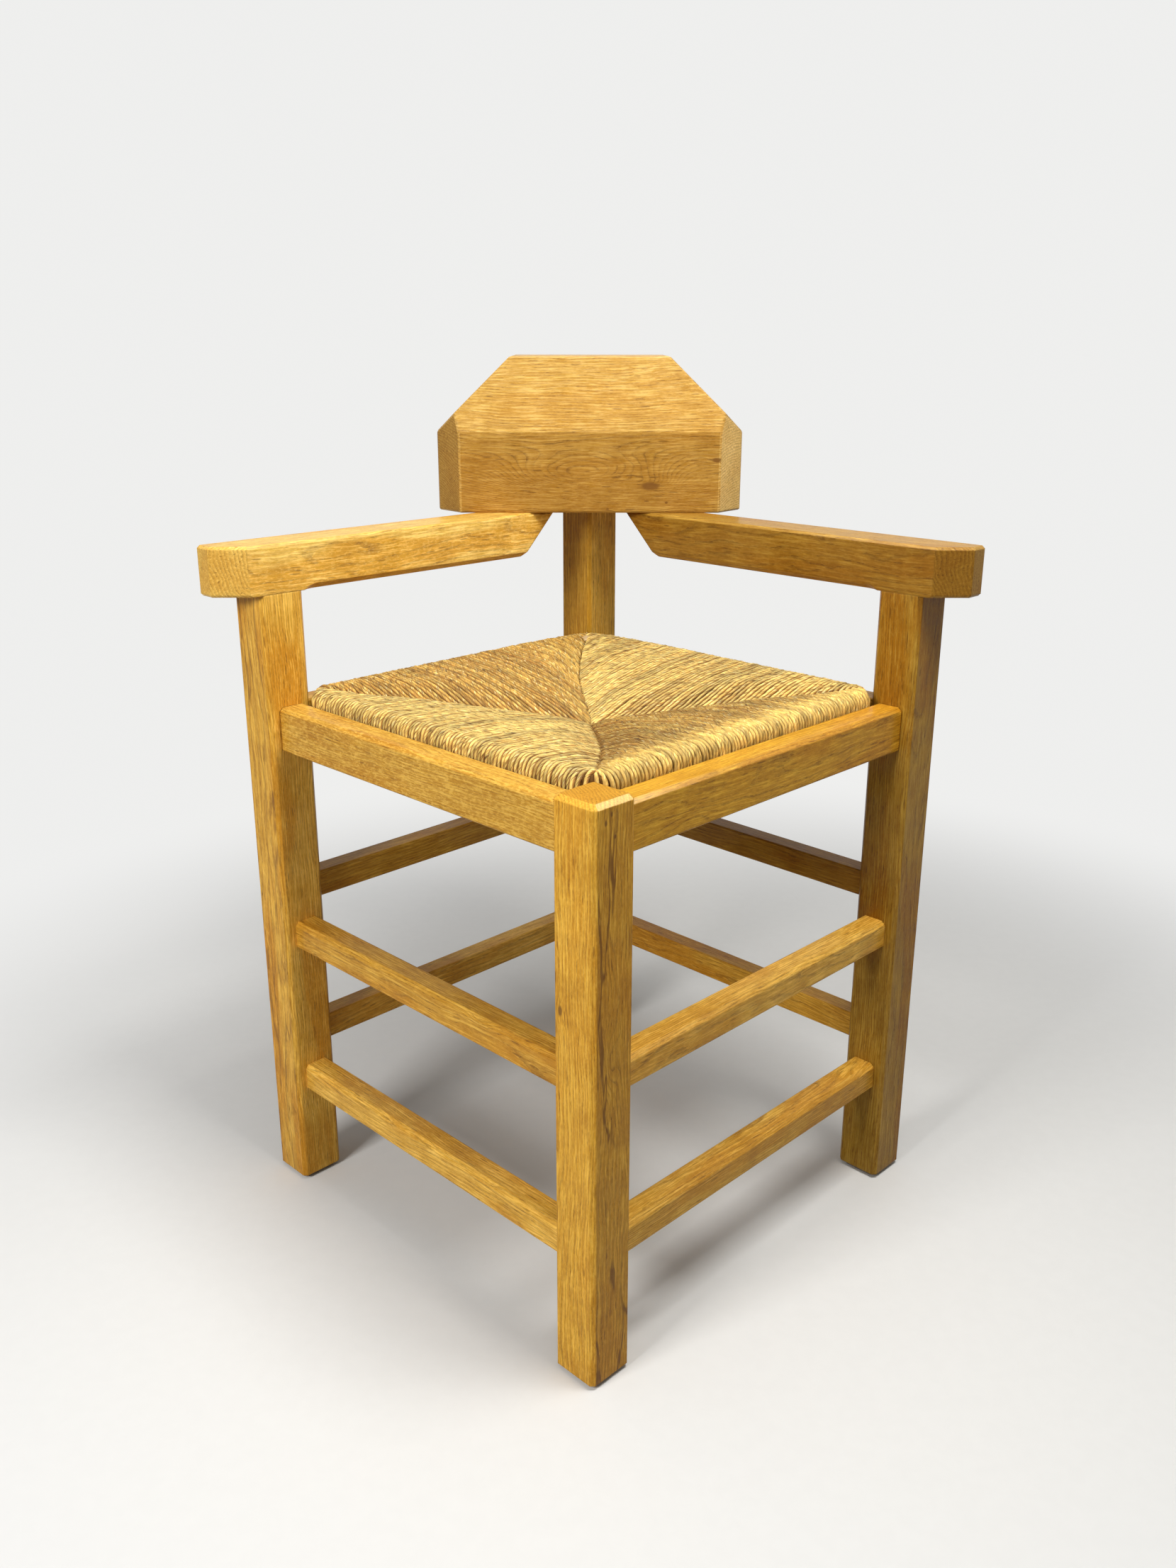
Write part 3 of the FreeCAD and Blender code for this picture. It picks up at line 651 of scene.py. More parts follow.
# Tone and tint are partly the oak's own colour and partly painted light and shade; the right leg's low tone
# is partly painted shade. The faces listed in shades are painted lighter or darker as light and shade.
LEG_CUTS = {
    "leg_front": Cut(UP, TO_RIGHT_LEG, (-0.055, 0.030), 1.0, 1.0, 0.2, 0.35,
                     painted_face_light=[(FACING_FRONT_RIGHT, 0.86, 0.9), (UP, 0.86, 0.95)],
                     checks=(0.8, FACING_FRONT_RIGHT), tint=(1.04, 0.94, 0.68),
                     knots=[Knot((0.0124, -0.3187, 0.3034), 0.030, 0.010, 0.0095),
                            Knot((0.0122, -0.3189, 0.4300), 0.045, 0.008, 0.0060),
                            Knot((-0.0256, -0.3055, 0.3414), 0.012, 0.006, 0.0040, 0.45),
                            Knot((0.0127, -0.3185, 0.5062), 0.004, 0.0022, 0.0015, 0.7),
                            Knot((0.0085, -0.3226, 0.5006), 0.004, 0.0022, 0.0015, 0.7),
                            Knot((0.0154, -0.3157, 0.4882), 0.003, 0.0020, 0.0015, 0.7)]),
    "leg_left": Cut(UP, TO_RIGHT_LEG, (0.070, -0.020), 2.0, 0.99, 0.15, 0.75, tint=(1.02, 0.95, 0.84),
                    checks=(0.55, FACING_FRONT_LEFT), painted_face_light=[(FACING_FRONT_RIGHT, 1.20, 0.9)]),
    "leg_right": Cut(UP, TO_RIGHT_LEG, (-0.020, 0.080), 3.0, 0.59, 0.15, 0.8, tint=(0.95, 1.02, 1.25)),
    "leg_back": Cut(UP, TO_RIGHT_LEG, (0.050, 0.060), 4.0, 0.79, 0.15, 0.4, tint=(1.0, 0.98, 0.85),
                    painted_face_light=[(FACING_FRONT_RIGHT, 1.42, 0.9)]),
}

SIDES = ("front_right", "back_right", "back_left", "front_left")
SIDE_RUNS = {"front_right": (TO_RIGHT_LEG, TO_LEFT_LEG), "back_left": (TO_RIGHT_LEG, TO_LEFT_LEG),
             "back_right": (TO_LEFT_LEG, -TO_RIGHT_LEG), "front_left": (TO_LEFT_LEG, -TO_RIGHT_LEG)}

# For each bar: where the pith lies, seed, tone, flecks and warm patches. Tone is partly the oak's
# own and partly painted light and shade.
BAR_WOOD = {
    "seat_rail": {
        "front_right": ((0.075, 0.020), 11.0, 0.90, 0.2, 0.5),
        "back_right": ((0.060, 0.050), 12.0, 0.95, 0.2, 0.4),
        "back_left": ((-0.070, 0.030), 13.0, 0.95, 0.2, 0.4),
        "front_left": ((0.015, 0.090), 14.0, 0.90, 0.5, 0.6),
    },
    "upper_stretcher": {
        "front_right": ((0.080, 0.010), 15.0, 1.08, 0.15, 0.4),
        "back_right": ((0.050, 0.030), 16.0, 0.60, 0.15, 0.7),
        "back_left": ((-0.060, 0.040), 17.0, 0.82, 0.15, 0.7),
        "front_left": ((0.070, -0.010), 18.0, 0.88, 0.15, 0.5),
    },
    "lower_stretcher": {
        "front_right": ((0.020, 0.070), 19.0, 0.98, 0.15, 0.5),
        "back_right": ((0.060, -0.020), 20.0, 0.80, 0.15, 0.6),
        "back_left": ((-0.060, 0.020), 21.0, 1.08, 0.15, 0.6),
        "front_left": ((0.060, 0.030), 22.0, 1.10, 0.15, 0.5),
    },
}
# Tints are partly painted light and shade; the front right rail's redder tint is partly painted shade
BAR_TINT = (1.02, 0.96, 0.90)
BAR_TINTS = {"seat_rail_front_right": (0.98, 0.88, 0.50), "seat_rail_front_left": (1.0, 0.97, 1.02)}
BAR_KNOTS = {
    "upper_stretcher_front_left": [Knot((-0.0956, -0.2207, 0.2887), 0.016, 0.007, 0.006, 0.35)],
    "seat_rail_front_right": [Knot((0.0780, -0.2380, 0.4736), 0.030, 0.008, 0.004)],
}

# Tone and tint are partly painted light and shade; the right arm's low tone is partly painted shade. The
# faces listed in shades are painted lighter or darker as light and shade.
ARM_CUTS = {
    "arm_left": Cut(TO_RIGHT_LEG, TO_LEFT_LEG, (-0.080, 0.020), 31.0, 1.10, 0.2, 0.75,
                    tint=(1.04, 1.08, 1.35), painted_face_light=[(FORWARDS, 0.88, 0.9), (FACING_FRONT_RIGHT, 1.18, 0.9)]),
    "arm_right": Cut(TO_LEFT_LEG, -TO_RIGHT_LEG, (-0.080, 0.020), 32.0, 0.60, 0.2, 0.5,
                     tint=(0.97, 1.04, 1.5), painted_face_light=[(FACING_FRONT_LEFT, 0.78, 0.9), (FORWARDS, 0.64, 0.9)]),
    "backrest_block": Cut(ACROSS, BACKWARDS, (-0.020, -0.120), 33.0, 0.91, 0.15, 0.3, tint=(0.92, 0.96, 1.6),
                          painted_face_light=[(FORWARDS, 0.73, 0.99), (LEFT_BEVEL, 0.72, 0.95),
                                  (RIGHT_BEVEL, 1.35, 0.95)],
                          knots=[Knot((-0.0100, 0.1987, 0.6920), 0.090, 0.026, 0.045),
                                 Knot((0.0628, 0.1987, 0.6835), 0.030, 0.0135, 0.014, 0.38),
                                 Knot((0.1322, 0.1987, 0.7102), 0.012, 0.006, 0.005, 0.50),
                                 Knot((0.0801, 0.1987, 0.6667), 0.0022, 0.0016, 0.001, 0.9),
                                 Knot((0.0593, 0.1987, 0.6682), 0.0040, 0.0010, 0.001, 0.9),
                                 Knot((0.0185, 0.1987, 0.6601), 0.0020, 0.0014, 0.001, 0.9)]),
}


class CHAIR_OT_finish_legs(bpy.types.Operator):
    """Finish the four legs in varnished oak"""

    bl_idname = "chair.finish_legs"
    bl_label = "Finish the legs"

    def execute(self, context):
        for node, cut in LEG_CUTS.items():
            dress(node, oak(node, cut))
        return {"FINISHED"}


class CHAIR_OT_finish_bars(bpy.types.Operator):
    """Finish the seat rails and the stretchers in varnished oak"""

    bl_idname = "chair.finish_bars"
    bl_label = "Finish rails and stretchers"

    def execute(self, context):
        for kind, bars in BAR_WOOD.items():
            for side, wood in bars.items():
                node = kind + "_" + side
                cut = Cut(*SIDE_RUNS[side], *wood, joint=BAR_END, knots=BAR_KNOTS.get(node, ()),
                          tint=BAR_TINTS.get(node, BAR_TINT))
                dress(node, oak(node, cut))
        return {"FINISHED"}


class CHAIR_OT_finish_arms(bpy.types.Operator):
    """Finish the arms and the backrest block in varnished oak"""

    bl_idname = "chair.finish_arms"
    bl_label = "Finish arms and backrest"

    def execute(self, context):
        for node, cut in ARM_CUTS.items():
            dress(node, oak(node, cut))
        return {"FINISHED"}


class CHAIR_OT_finish_hidden_parts(bpy.types.Operator):
    """Finish the ledges, seat frame, dowels, screws and felt pads"""

    bl_idname = "chair.finish_hidden_parts"
    bl_label = "Finish hidden parts"

    def execute(self, context):
        for side in SIDES:
            grain, across = SIDE_RUNS[side]
            for node, pale, dark in (("seat_ledge_" + side, (0.66, 0.47, 0.24), (0.45, 0.26, 0.10)),
                                     ("seat_frame_" + side, (0.62, 0.44, 0.23), (0.42, 0.25, 0.11))):
                dress(node, plain_wood(node, grain, across, box_middle(node), pale, dark, 0.005))
        dowels = "backrest_dowels"
        dress(dowels, plain_wood(dowels, UP, ACROSS, box_middle(dowels), (0.62, 0.41, 0.24),
                                 (0.50, 0.30, 0.16), 0.0018))
        dress("ledge_screws", zinc())
        pads = felt()
        for leg in ("front", "right", "left", "back"):
            dress("foot_pad_" + leg, pads)
        return {"FINISHED"}


# Rush seat: sizes of its rolled section, from the outer face inwards

RUSH_OUT = 0.0134
ROLL_RADIUS = 0.0120
ROLL_CROWN = 0.0055
CROWN_END = RUSH_OUT + ROLL_RADIUS + ROLL_CROWN
PAST_CROWN = CROWN_END + 0.003
ROLL_BACK_RADIUS = 0.0400
FOOT_RADIUS = 0.0040
UNDERSIDE = 0.4878
UNDERSIDE_FLAT = 0.0476
SEAT_SAG = 0.0330
MIDDLE = LEG_SPACING / 2
CORNER_REACH = 0.0480
STRANDS_CORNER = CORNER_REACH + 0.0025
CORE_CORNER = CORNER_REACH + 0.006
BACK_CORNER_DROP = 0.0028
BACK_CORNER_SPREAD = 0.075
FIRST_STRAND = 0.0290
FIRST_TOP = 0.0305
MIDDLE_GAP = 0.0005
DIVE_LENGTH = 0.0055
DIVE_DEPTH = 0.0012
STRAND_COVER = 0.00025

# Unevenness of the strands: how much, and over which length of strand
OWN_SWAYS = ((0.00022, 0.0085), (0.00028, 0.0190))
SHARED_SWAY = (0.0007, 0.0210)
SHARED_SWAY_ACROSS = (0.013, 0.031)
SWAY_BEGINS = 0.02
DEPTH_WAVE = (0.0002, 0.0120)
SWELLING = (0.05, 0.0061)
DEPTH_SPREAD = 0.00045
THICKNESS_SPREAD = 0.07
THICKEST = 1.12
THINNER_ENDS = 0.30


def rounded_line(corners, step=0.0005):
    """A line through corners (across, up, radius), each rounded by an arc, as evenly spaced points.

    An arc of radius r in a corner that turns by t starts r tan(t / 2) before the corner.
    """
    line = [np.array(corners[0][:2])]
    for before, corner, after in zip(corners, corners[1:], corners[2:]):
        point = np.array(corner[:2])
        arriving = point - np.array(before[:2])
        arriving /= np.hypot(*arriving)
        leaving = np.array(after[:2]) - point
        leaving /= np.hypot(*leaving)
        turn = math.atan2(arriving[0] * leaving[1] - arriving[1] * leaving[0], arriving @ leaving)
        reach = corner[2] * math.tan(abs(turn) / 2)
        side = math.copysign(1, turn) * np.array([-arriving[1], arriving[0]])
        start = point - arriving * reach
        centre = start + side * corner[2]
        swing = np.linspace(0, abs(turn), 24)[:, None]
        line.extend(centre + corner[2] * (arriving * np.sin(swing) - side * np.cos(swing)))
    line.append(np.array(corners[-1][:2]))
    line = np.array(line)
    runs = np.concatenate([[0], np.cumsum(np.hypot(*np.diff(line, axis=0).T))])
    even = np.arange(0, runs[-1], step)
    return np.stack([np.interp(even, runs, line[:, 0]), np.interp(even, runs, line[:, 1])], axis=1)


def seat_section():
    """The seat's section from the top of its middle, over the roll and back to the underside."""
    return rounded_line([
        (MIDDLE, SEAT_HIGH - SEAT_SAG, 0), (CROWN_END, SEAT_HIGH, ROLL_BACK_RADIUS),
        (RUSH_OUT, SEAT_HIGH, ROLL_RADIUS), (RUSH_OUT, UNDERSIDE, FOOT_RADIUS),
        (UNDERSIDE_FLAT, UNDERSIDE, ROLL_BACK_RADIUS), (MIDDLE, SEAT_LOW, 0)])


def section_normals(section):
    """Outward normals of the section: its tangent turned by a quarter."""
    tangent = np.gradient(section, axis=0)
    tangent /= np.hypot(*tangent.T)[:, None]
    return np.stack([tangent[:, 1], -tangent[:, 0]], axis=1)


def on_side(side, along, inwards, up):
    """Row coordinates of points given along a side, inwards from it and up."""
    index = SIDES.index(side)
    u = (along, LEG_SPACING - inwards, LEG_SPACING - along, inwards)[index]
    v = (inwards, along, LEG_SPACING - inwards, LEG_SPACING - along)[index]
    u, v, up = np.broadcast_arrays(u, v, up)
    x = FRONT_LEG.x + (u - v) * TO_RIGHT_LEG.x
    y = FRONT_LEG.y + (u + v) * TO_RIGHT_LEG.y
    return np.stack([x, y, up - back_corner_drop(u, v, up)], axis=-1)


def back_corner_drop(u, v, up):
    """How far the roll sinks towards the back leg: a bell round that corner, for the seat's top only."""
    away = np.hypot(LEG_SPACING - u, LEG_SPACING - v)
    on_top = smooth_step(up, UNDERSIDE + 0.008, SEAT_HIGH - 0.004)
    return BACK_CORNER_DROP * np.exp(-(away / BACK_CORNER_SPREAD) ** 2) * on_top


TOP_RINGS = 34
ROLL_RINGS = 24
UNDER_RINGS = 12
RING_SIDES = 10
CROWDING = 1.35
PILLOW = 0.0055
PILLOW_RISE = 0.055
PILLOW_END = 0.085
SEAM_SINK = 0.0015
SINK_REACH = 0.03
SINK_ENDS = (0.03, 0.06)
CORE_DEPTH = 0.0032
CORE_DEPTH_IN_DISH = 0.0040
CORE_DISH_BEGINS = (0.042, 0.070)
CORE_MIDDLE_GAP = 0.002
CORE_STEP = 8

# How far each seam strays from its diagonal, at its middle and towards the next side, by the side before it
SEAM_STRAY = {"front_left": 0.0110, "front_right": 0.0060, "back_right": 0.0170, "back_left": -0.0020}


def seam_reach(side, from_corner, starts):
    """Where a strand's end meets the seam, for its distance from its own corner.

    The seam leaves the diagonal by e(s), a half sine from corner to middle to the power of 1.5. The side
    before the seam ends at s + e(s), and the side after it, read off the same line, ends at the s whose
    s + e(s) is its own place.
    """
    along = np.linspace(0, MIDDLE, 400)
    wave = np.sin(math.pi * along / MIDDLE) ** 1.5
    reach = []
    for seam, own in ((SIDES[SIDES.index(side) - 1], starts), (side, ~starts)):
        stray = SEAM_STRAY[seam]
        longer = along + abs(stray) * wave
        grows = (stray > 0) == (seam == side)
        line = (along, longer) if grows else (longer, along)
        reach.append(np.interp(from_corner, *line) * own)
    return reach[0] + reach[1]


def weave_quadrant(side, chance):
    """The strands over one side of the seat, as tubes.

    A strand's axis follows the section, one radius inside it, from the diagonal on top to the
    diagonal underneath. It dives at both ends by a smooth step, wanders by a slow sine shared with
    its neighbours and two smaller ones of its own, and its radius swells by a sine.
    A ring's points lie at p + r (cos a n + sin a s), with n the section's normal and s the side's
    direction.
    """
    look = bpy.context.scene.chair_rush
    count = look.strands
    radius = look.strand_radius
    section = seat_section()
    normals = section_normals(section)
    runs = np.arange(len(section)) * np.hypot(*(section[1] - section[0]))
    turn = np.argmin(section[:, 0] + np.abs(section[:, 1] - (SEAT_HIGH + UNDERSIDE) / 2))

    pitch = 2 * (MIDDLE - FIRST_STRAND) / (count - 1)
    if SIDES.index(side) % 2:
        count -= 1
    outer = MIDDLE + (np.arange(count) - (count - 1) / 2) * pitch
    across = MIDDLE + (outer - MIDDLE) * (MIDDLE - FIRST_TOP) / (MIDDLE - FIRST_STRAND)
    from_corner = MIDDLE - np.abs(outer - MIDDLE)
    overshoot = radius * (0.5 + 0.6 * chance.random(count))
    tip = MIDDLE - np.abs(across - MIDDLE)
    tip = np.minimum(seam_reach(side, tip, across < MIDDLE) + overshoot, MIDDLE - MIDDLE_GAP)
    outer_face = np.maximum(RUSH_OUT, STRANDS_CORNER - from_corner)
    squeeze = ((tip - outer_face) / (tip - RUSH_OUT))[:, None]

    start = np.interp(-tip, -section[:turn, 0], runs[:turn])
    under = np.interp(tip, section[turn:, 0], runs[turn:])
    inner_reach = np.minimum(PAST_CROWN, tip - MIDDLE_GAP)
    roll_start = np.interp(-inner_reach, -section[:turn, 0], runs[:turn])
    roll_end = np.interp(inner_reach, section[turn:, 0], runs[turn:])
    top = np.linspace(0, 1, TOP_RINGS, endpoint=False) ** CROWDING
    middle = np.linspace(0, 1, ROLL_RINGS, endpoint=False)
    under_share = 1 - np.linspace(1, 0, UNDER_RINGS) ** CROWDING
    run = np.concatenate([
        start[:, None] + (roll_start - start)[:, None] * top,
        roll_start[:, None] + (roll_end - roll_start)[:, None] * middle,
        roll_end[:, None] + (under - roll_end)[:, None] * under_share], axis=1)

    inwards, up, normal_in, normal_up = (np.interp(run, runs, column)
                                         for column in (*section.T, *normals.T))
    from_tip = np.minimum(run - start[:, None], under[:, None] - run)
    dive = 1 - smooth_step(from_tip, 0, DIVE_LENGTH)

    phases = chance.random((count, 4)) * math.tau

    def wave(size, step, phase):
        return size * np.sin(run / step + phase)

    own = wave(*OWN_SWAYS[0], phases[:, :1]) + wave(*OWN_SWAYS[1], phases[:, 1:2])
    quick_turn, slow_turn = (across[:, None] / step for step in SHARED_SWAY_ACROSS)
    shared = wave(*SHARED_SWAY, quick_turn) * np.sin(slow_turn + 1.0)
    sway = (own + shared) * smooth_step(from_tip, 0, SWAY_BEGINS)
    lean = smooth_step(inwards, RUSH_OUT, PAST_CROWN)
    along = outer[:, None] + (across - outer)[:, None] * lean + sway
    thickness = radius * (1 + THICKNESS_SPREAD * chance.standard_normal((count, 1)).clip(-1.5, 1.2)
                          + wave(*SWELLING, phases[:, 2:3]))
    thickness = np.minimum(thickness, radius * THICKEST) * (1 - THINNER_ENDS * dive)
    sunk = radius + STRAND_COVER + DEPTH_SPREAD * chance.random((count, 1)) + wave(*DEPTH_WAVE, phases[:, 3:])
    sunk = np.maximum(sunk, thickness) + DIVE_DEPTH * dive - pillow(from_tip, inwards, run < runs[turn])
    axis_in = tip[:, None] + (inwards - tip[:, None]) * squeeze - normal_in * sunk
    axis_up = up - normal_up * sunk

    angle = np.linspace(0, math.tau, RING_SIDES, endpoint=False)
    plies = 2 * angle + (math.tau * 2 / look.twist) * run[..., None] + phases[:, :1, None]
    wound = thickness[..., None] * (0.94 + 0.07 * np.cos(plies))
    outwards = wound * np.cos(angle)
    sideways = wound * np.sin(angle)
    tubes = on_side(side, along[..., None] + sideways,
                    axis_in[..., None] + normal_in[..., None] * outwards,
                    axis_up[..., None] + normal_up[..., None] * outwards)
    ends = on_side(side, along[:, [0, -1]], axis_in[:, [0, -1]], axis_up[:, [0, -1]])
    return put_tubes("rush_" + side, tubes, ends, run, chance.random(count))


def pillow(from_tip, inwards, on_top):
    """How far the stuffing lifts the top between the seams: a smooth rise away from the seam, which
    fades out towards the roll, less a sink at the seam itself."""
    rise = smooth_step(from_tip, 0, PILLOW_RISE) * smooth_step(inwards, RUSH_OUT + ROLL_RADIUS, PILLOW_END)
    sink = (1 - smooth_step(from_tip, 0, SINK_REACH)) * smooth_step(inwards, *SINK_ENDS)
    return np.where(on_top, PILLOW * rise - SEAM_SINK * sink, 0)


def put_tubes(name, tubes, ends, run, tones):
    """Closed tubes from rings of points and two end points each.

    Their map holds the share of a turn round the tube and the length along it. A face's corners lie at
    its own column or one step further round, and an end point's in the middle between the two.
    """
    count, rings, sides, _ = tubes.shape
    index = np.arange(count * rings * sides).reshape(count, rings, sides)
    after = np.roll(index, -1, axis=2)
    poles = np.repeat(index.size + np.arange(count * 2).reshape(count, 2, 1), sides, axis=2)
    lengths = np.concatenate([np.repeat(run, sides), run[:, [0, -1]].ravel()])
    faces = []
    around = []
    for corners, steps in (((index[:, 1:], after[:, 1:], after[:, :-1], index[:, :-1]), (0, 1, 1, 0)),
                           ((poles[:, 0], index[:, 0], after[:, 0]), (0.5, 0, 1)),
                           ((poles[:, 1], after[:, -1], index[:, -1]), (0.5, 1, 0))):
        part = np.stack(corners, axis=-1).reshape(-1, len(steps))
        column = np.arange(len(part))[:, None] % sides
        faces.append(part)
        around.append(np.stack([(column + steps) / sides, lengths[part]], axis=-1).reshape(-1, 2))
    quads, near, far = faces
    points = np.concatenate([tubes.reshape(-1, 3), ends.reshape(-1, 3)])
    tone = np.concatenate([np.repeat(tones, rings * sides), np.repeat(tones, 2)])
    return put_mesh(name, points, quads, np.concatenate([near, far]), np.concatenate(around),
                    {"tone": tone})


def rush_core():
    """The stuffing under the strands: the section, shrunk by a strand or more, carried round all four
    sides with cut corners, and closed by a point in the middle of its top and of its underside."""
    section = seat_section()
    normals = section_normals(section)
    deeper = smooth_step(section[:, :1], *CORE_DISH_BEGINS)
    shrunk = section - normals * (CORE_DEPTH + CORE_DEPTH_IN_DISH * deeper)
    shrunk = shrunk[::CORE_STEP]
    shrunk = shrunk[shrunk[:, 0] < MIDDLE - CORE_MIDDLE_GAP]
    inwards, up = shrunk.T
    cut = np.maximum(CORE_CORNER - inwards, inwards)
    rings = np.stack([on_side(side, along, inwards, up) for side in SIDES
                      for along in (cut, LEG_SPACING - cut)], axis=1)
    rows, sides, _ = rings.shape
    index, after, quads = ring_faces(rows, sides)
    poles = rings[[0, -1]].mean(axis=1)
    near = np.stack([index[0], after[0], np.full(sides, index.size)], axis=-1)
    far = np.stack([after[-1], index[-1], np.full(sides, index.size + 1)], axis=-1)
    points = np.concatenate([rings.reshape(-1, 3), poles])
    return put_mesh("rush_core", points, quads, np.concatenate([near, far]))


# For each side: shares of straw and of brown leaf, lightness, and lightness of the roll over the frame.
# The sides' differences are painted light and shade, and the roll's lightness is painted light.
LEAF_MIX = {"front_right": (0.25, 0.80, 0.60, 1.75), "back_right": (0.80, 0.30, 0.92),
            "back_left": (0.25, 0.80, 0.86), "front_left": (0.90, 0.25, 0.86)}


class CHAIR_OT_weave_rush(bpy.types.Operator):
    """Weave the rush seat, strand by strand, round its frame"""

    bl_idname = "chair.weave_rush"
    bl_label = "Weave the rush seat"

    def execute(self, context):
        chance = np.random.default_rng(7)
        pieces = []
        for side in SIDES:
            piece = weave_quadrant(side, chance)
            piece.data.materials.append(rush("rush_leaf_" + side, *LEAF_MIX[side]))
            pieces.append(piece)
        # The stuffing's dark colour is painted shade under the strands
        core = rush_core()
        core.data.materials.append(rush_inside())
        for piece in [*pieces, core]:
            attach(piece, "seat")
            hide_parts("rush_seat")
        return {"FINISHED"}


# Stage

# Each lamp's name, place, target, size, power and tint, and whether it gives only the varnish's glints
LAMPS = (
    ("key", (-1.25, -1.40, 1.35), (-0.1, -0.1, 0.45), (0.6, 0.6), 30.0, (1.0, 0.99, 0.97), False),
    ("overhead", (0.0, -0.2, 2.3), (0.0, 0.0, 0.4), (1.1, 1.1), 7.5, (1.0, 1.0, 1.0), False),
    ("room", (0.42, -0.42, 1.75), (-0.1, 0.0, 0.5), (0.5, 0.5), 18.0, (1.0, 0.99, 0.96), False),
    ("window", (1.42, 0.02, 1.8), (0.0, 0.0, 0.6), (0.5, 0.5), 34.0, (1.0, 0.92, 0.68), True),
    ("skylight", (0.0, 0.33, 1.8), (0.0, 0.3, 0.6), (1.0, 0.4), 14.0, (1.0, 0.96, 0.82), True),
)


def lamp(name, place, target, size, power, tint, glint_only):
    """A soft lamp aimed at a point, as wide and as deep as size says."""
    data = bpy.data.lights.new(name, "AREA")
    data.shape = "RECTANGLE"
    data.size, data.size_y = size
    data.energy = power
    data.color = tint
    light = bpy.data.objects.new(name, data)
    light.location = place
    light.visible_diffuse = not glint_only
    light.rotation_euler = (Vector(target) - Vector(place)).to_track_quat("-Z", "Y").to_euler()
    bpy.context.scene.collection.objects.link(light)


FLOOR_RADII = np.array([0.5, 1.5, 4.0, 12.0])
FLOOR_SPOKES = 96
FADE_MIDDLE = (0.10, 0.10, 0.0)
FADE = (0.45, 1.25)
FLOOR_BOUNCE = 0.45
FLOOR_SPECKLE = 0.985
ROOM_LIGHT = 0.22


def floor_sheet(settings):
    """A round pale floor: rings of points at growing radii, which fades into the background far out."""
    angle = np.linspace(0, math.tau, FLOOR_SPOKES, endpoint=False)
    index, after, quads = ring_faces(len(FLOOR_RADII), FLOOR_SPOKES)
    rings = np.stack([FLOOR_RADII[:, None] * np.cos(angle), FLOOR_RADII[:, None] * np.sin(angle),
                      np.zeros(index.shape)], axis=-1)
    hub = np.stack([index[0], after[0], np.full(FLOOR_SPOKES, index.size)], axis=-1)
    floor = put_mesh("floor", np.concatenate([rings.reshape(-1, 3), [[0, 0, 0]]]), quads, hub)

    recipe = Recipe("pale_floor")
    place = recipe.place()
    speckle = recipe.noise(recipe.scaled(place, 60.0), 3.0, 0.6)
    low = [FLOOR_SPECKLE * value for value in settings.floor]
    base = recipe.layers(low, (recipe.between(speckle, 0.3, 0.7), settings.floor))
    in_view = recipe.background_rays()
    base = recipe.mix(in_view, [FLOOR_BOUNCE * value for value in settings.floor], base)
    floor.data.materials.append(recipe.finish(base, 0.7, None, {"Specular IOR Level": 0.2}))
    plain = recipe.node("Emission", (*settings.background, 1.0))
    far = recipe.vector("LENGTH", recipe.vector("SUBTRACT", place, FADE_MIDDLE))
    share = recipe.times(recipe.between(far, *FADE), in_view)
    mixer = recipe.node("MixShader", share, recipe.surface.outputs["BSDF"], plain.outputs[0])
    recipe.show(mixer.outputs[0])
    return floor


def surroundings(settings):
    """An even pale room, seen by the camera and in gloss as the plain background."""
    recipe = Recipe("studio", world=True)
    bpy.context.scene.world = recipe.owner
    soft = recipe.node("Background", (1.0, 0.99, 0.97, 1.0), ROOM_LIGHT)
    plain = recipe.node("Background", (*settings.background, 1.0))
    mixer = recipe.node("MixShader", recipe.background_rays(), soft.outputs[0], plain.outputs[0])
    recipe.show(mixer.outputs[0])


CAMERA_PLACE = Vector((-0.0095, -1.2238, 0.8331))
CAMERA_YAW = -0.00559
CAMERA_PITCH = -0.32374
CAMERA_ROLL = 0.00136
SENSOR = 36.0


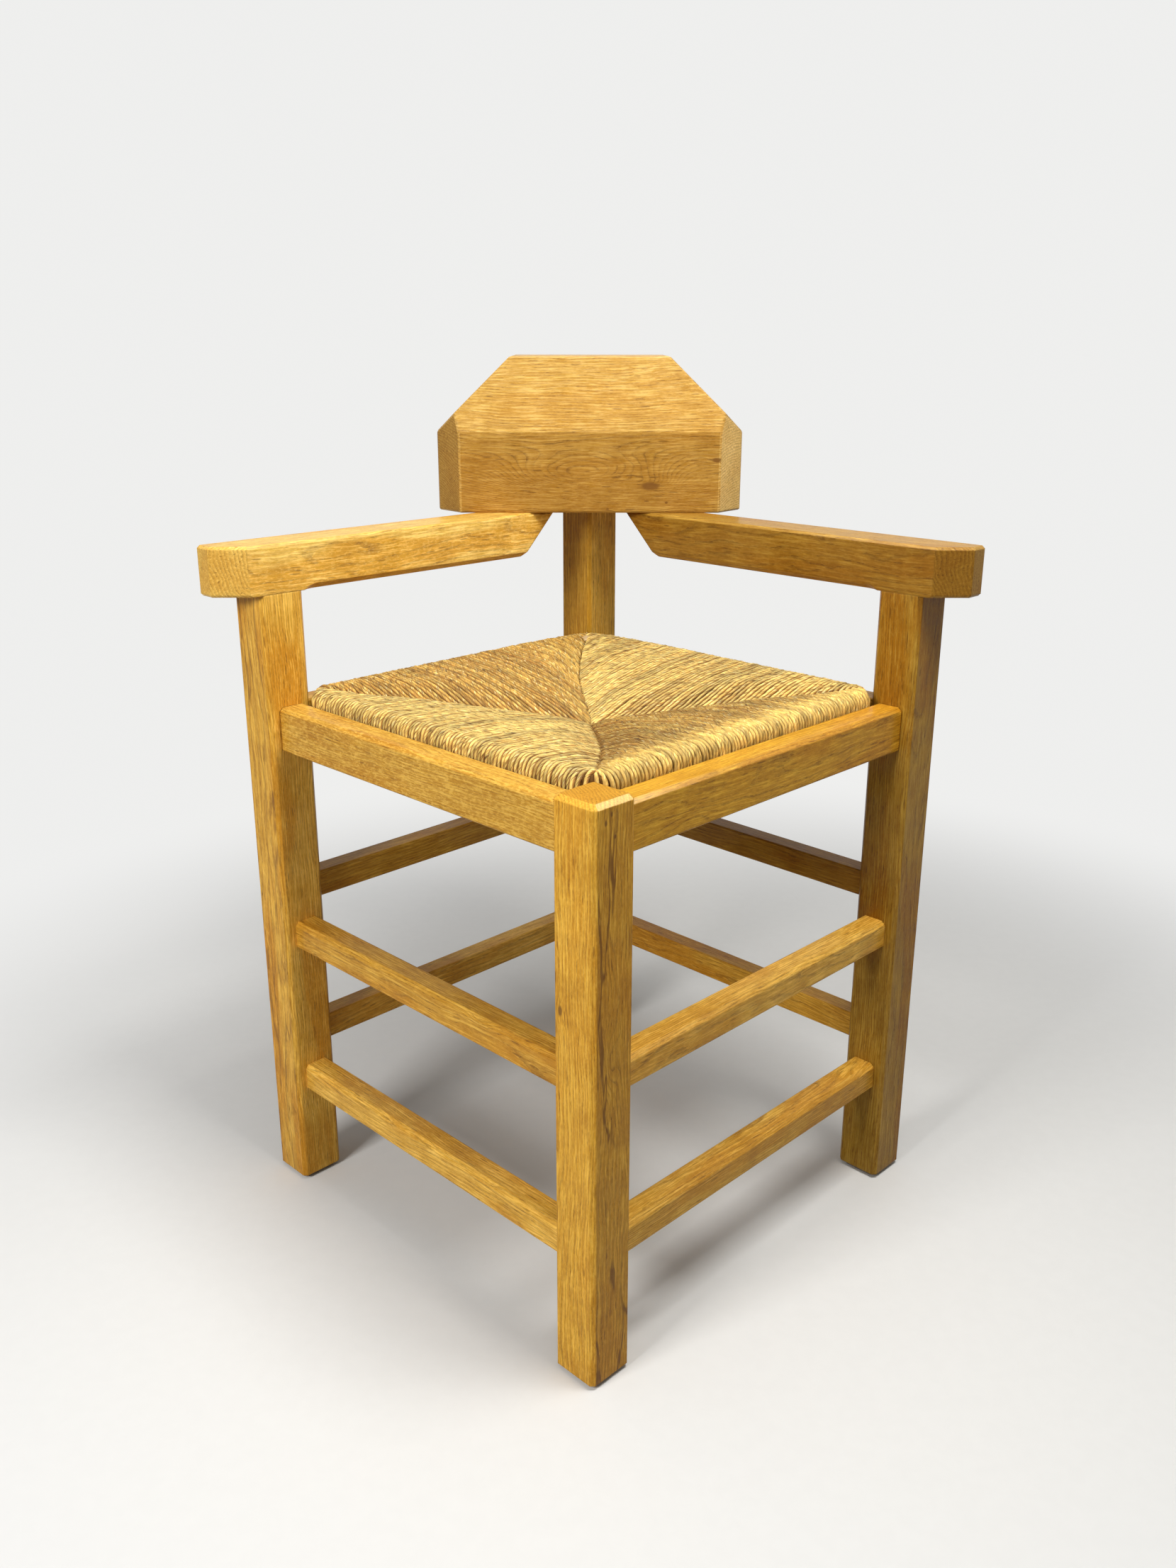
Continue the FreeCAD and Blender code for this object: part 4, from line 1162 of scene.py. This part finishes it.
def camera(settings):
    """The camera, looking along its yaw and pitch and rolled about that line."""
    forward = Vector((-math.sin(CAMERA_YAW) * math.cos(CAMERA_PITCH),
                      math.cos(CAMERA_YAW) * math.cos(CAMERA_PITCH), math.sin(CAMERA_PITCH)))
    level = Vector((math.cos(CAMERA_YAW), math.sin(CAMERA_YAW), 0))
    upright = level.cross(forward)
    right = math.cos(CAMERA_ROLL) * level + math.sin(CAMERA_ROLL) * upright
    top = right.cross(forward)
    data = bpy.data.cameras.new("camera")
    data.sensor_fit = "VERTICAL"
    data.sensor_height = SENSOR
    data.lens = settings.focal_length
    data.clip_end = 50.0
    viewer = bpy.data.objects.new("camera", data)
    turn = Matrix((right, top, -forward)).transposed().to_4x4()
    viewer.matrix_world = Matrix.Translation(CAMERA_PLACE) @ turn
    bpy.context.scene.collection.objects.link(viewer)
    bpy.context.scene.camera = viewer


class CHAIR_OT_set_stage(bpy.types.Operator):
    """Set up the floor, the lamps and the camera"""

    bl_idname = "chair.set_stage"
    bl_label = "Set the stage"

    def execute(self, context):
        settings = context.scene.chair_stage
        context.scene.view_settings.view_transform = "Standard"
        floor_sheet(settings)
        surroundings(settings)
        for settings_of_lamp in LAMPS:
            lamp(*settings_of_lamp)
        camera(settings)
        return {"FINISHED"}


class CHAIR_PT_panel(bpy.types.Panel):
    """Lists the chair's making steps and settings"""

    bl_idname = "CHAIR_PT_panel"
    bl_label = "Corner chair"
    bl_space_type = "VIEW_3D"
    bl_region_type = "UI"
    bl_category = "Corner chair"

    def draw(self, context):
        for step in STEPS:
            self.layout.operator(step.bl_idname)
        for title, settings in (("Oak", context.scene.chair_oak), ("Rush", context.scene.chair_rush),
                                ("Stage", context.scene.chair_stage)):
            box = self.layout.box()
            box.label(text=title)
            for key in settings.__annotations__:
                box.prop(settings, key)


STEPS = (CHAIR_OT_set_stage, CHAIR_OT_finish_legs, CHAIR_OT_finish_bars, CHAIR_OT_finish_arms,
         CHAIR_OT_finish_hidden_parts, CHAIR_OT_weave_rush)
CLASSES = (OakSettings, RushSettings, StageSettings, *STEPS, CHAIR_PT_panel)


def register():
    for item in CLASSES:
        bpy.utils.register_class(item)
    bpy.types.Scene.chair_oak = bpy.props.PointerProperty(type=OakSettings)
    bpy.types.Scene.chair_rush = bpy.props.PointerProperty(type=RushSettings)
    bpy.types.Scene.chair_stage = bpy.props.PointerProperty(type=StageSettings)


def unregister():
    del bpy.types.Scene.chair_oak
    del bpy.types.Scene.chair_rush
    del bpy.types.Scene.chair_stage
    for item in reversed(CLASSES):
        bpy.utils.unregister_class(item)


def main():
    register()
    bpy.ops.chair.set_stage()
    bpy.ops.chair.finish_legs()
    bpy.ops.chair.finish_bars()
    bpy.ops.chair.finish_arms()
    bpy.ops.chair.finish_hidden_parts()
    bpy.ops.chair.weave_rush()


if __name__ == "__main__":
    main()
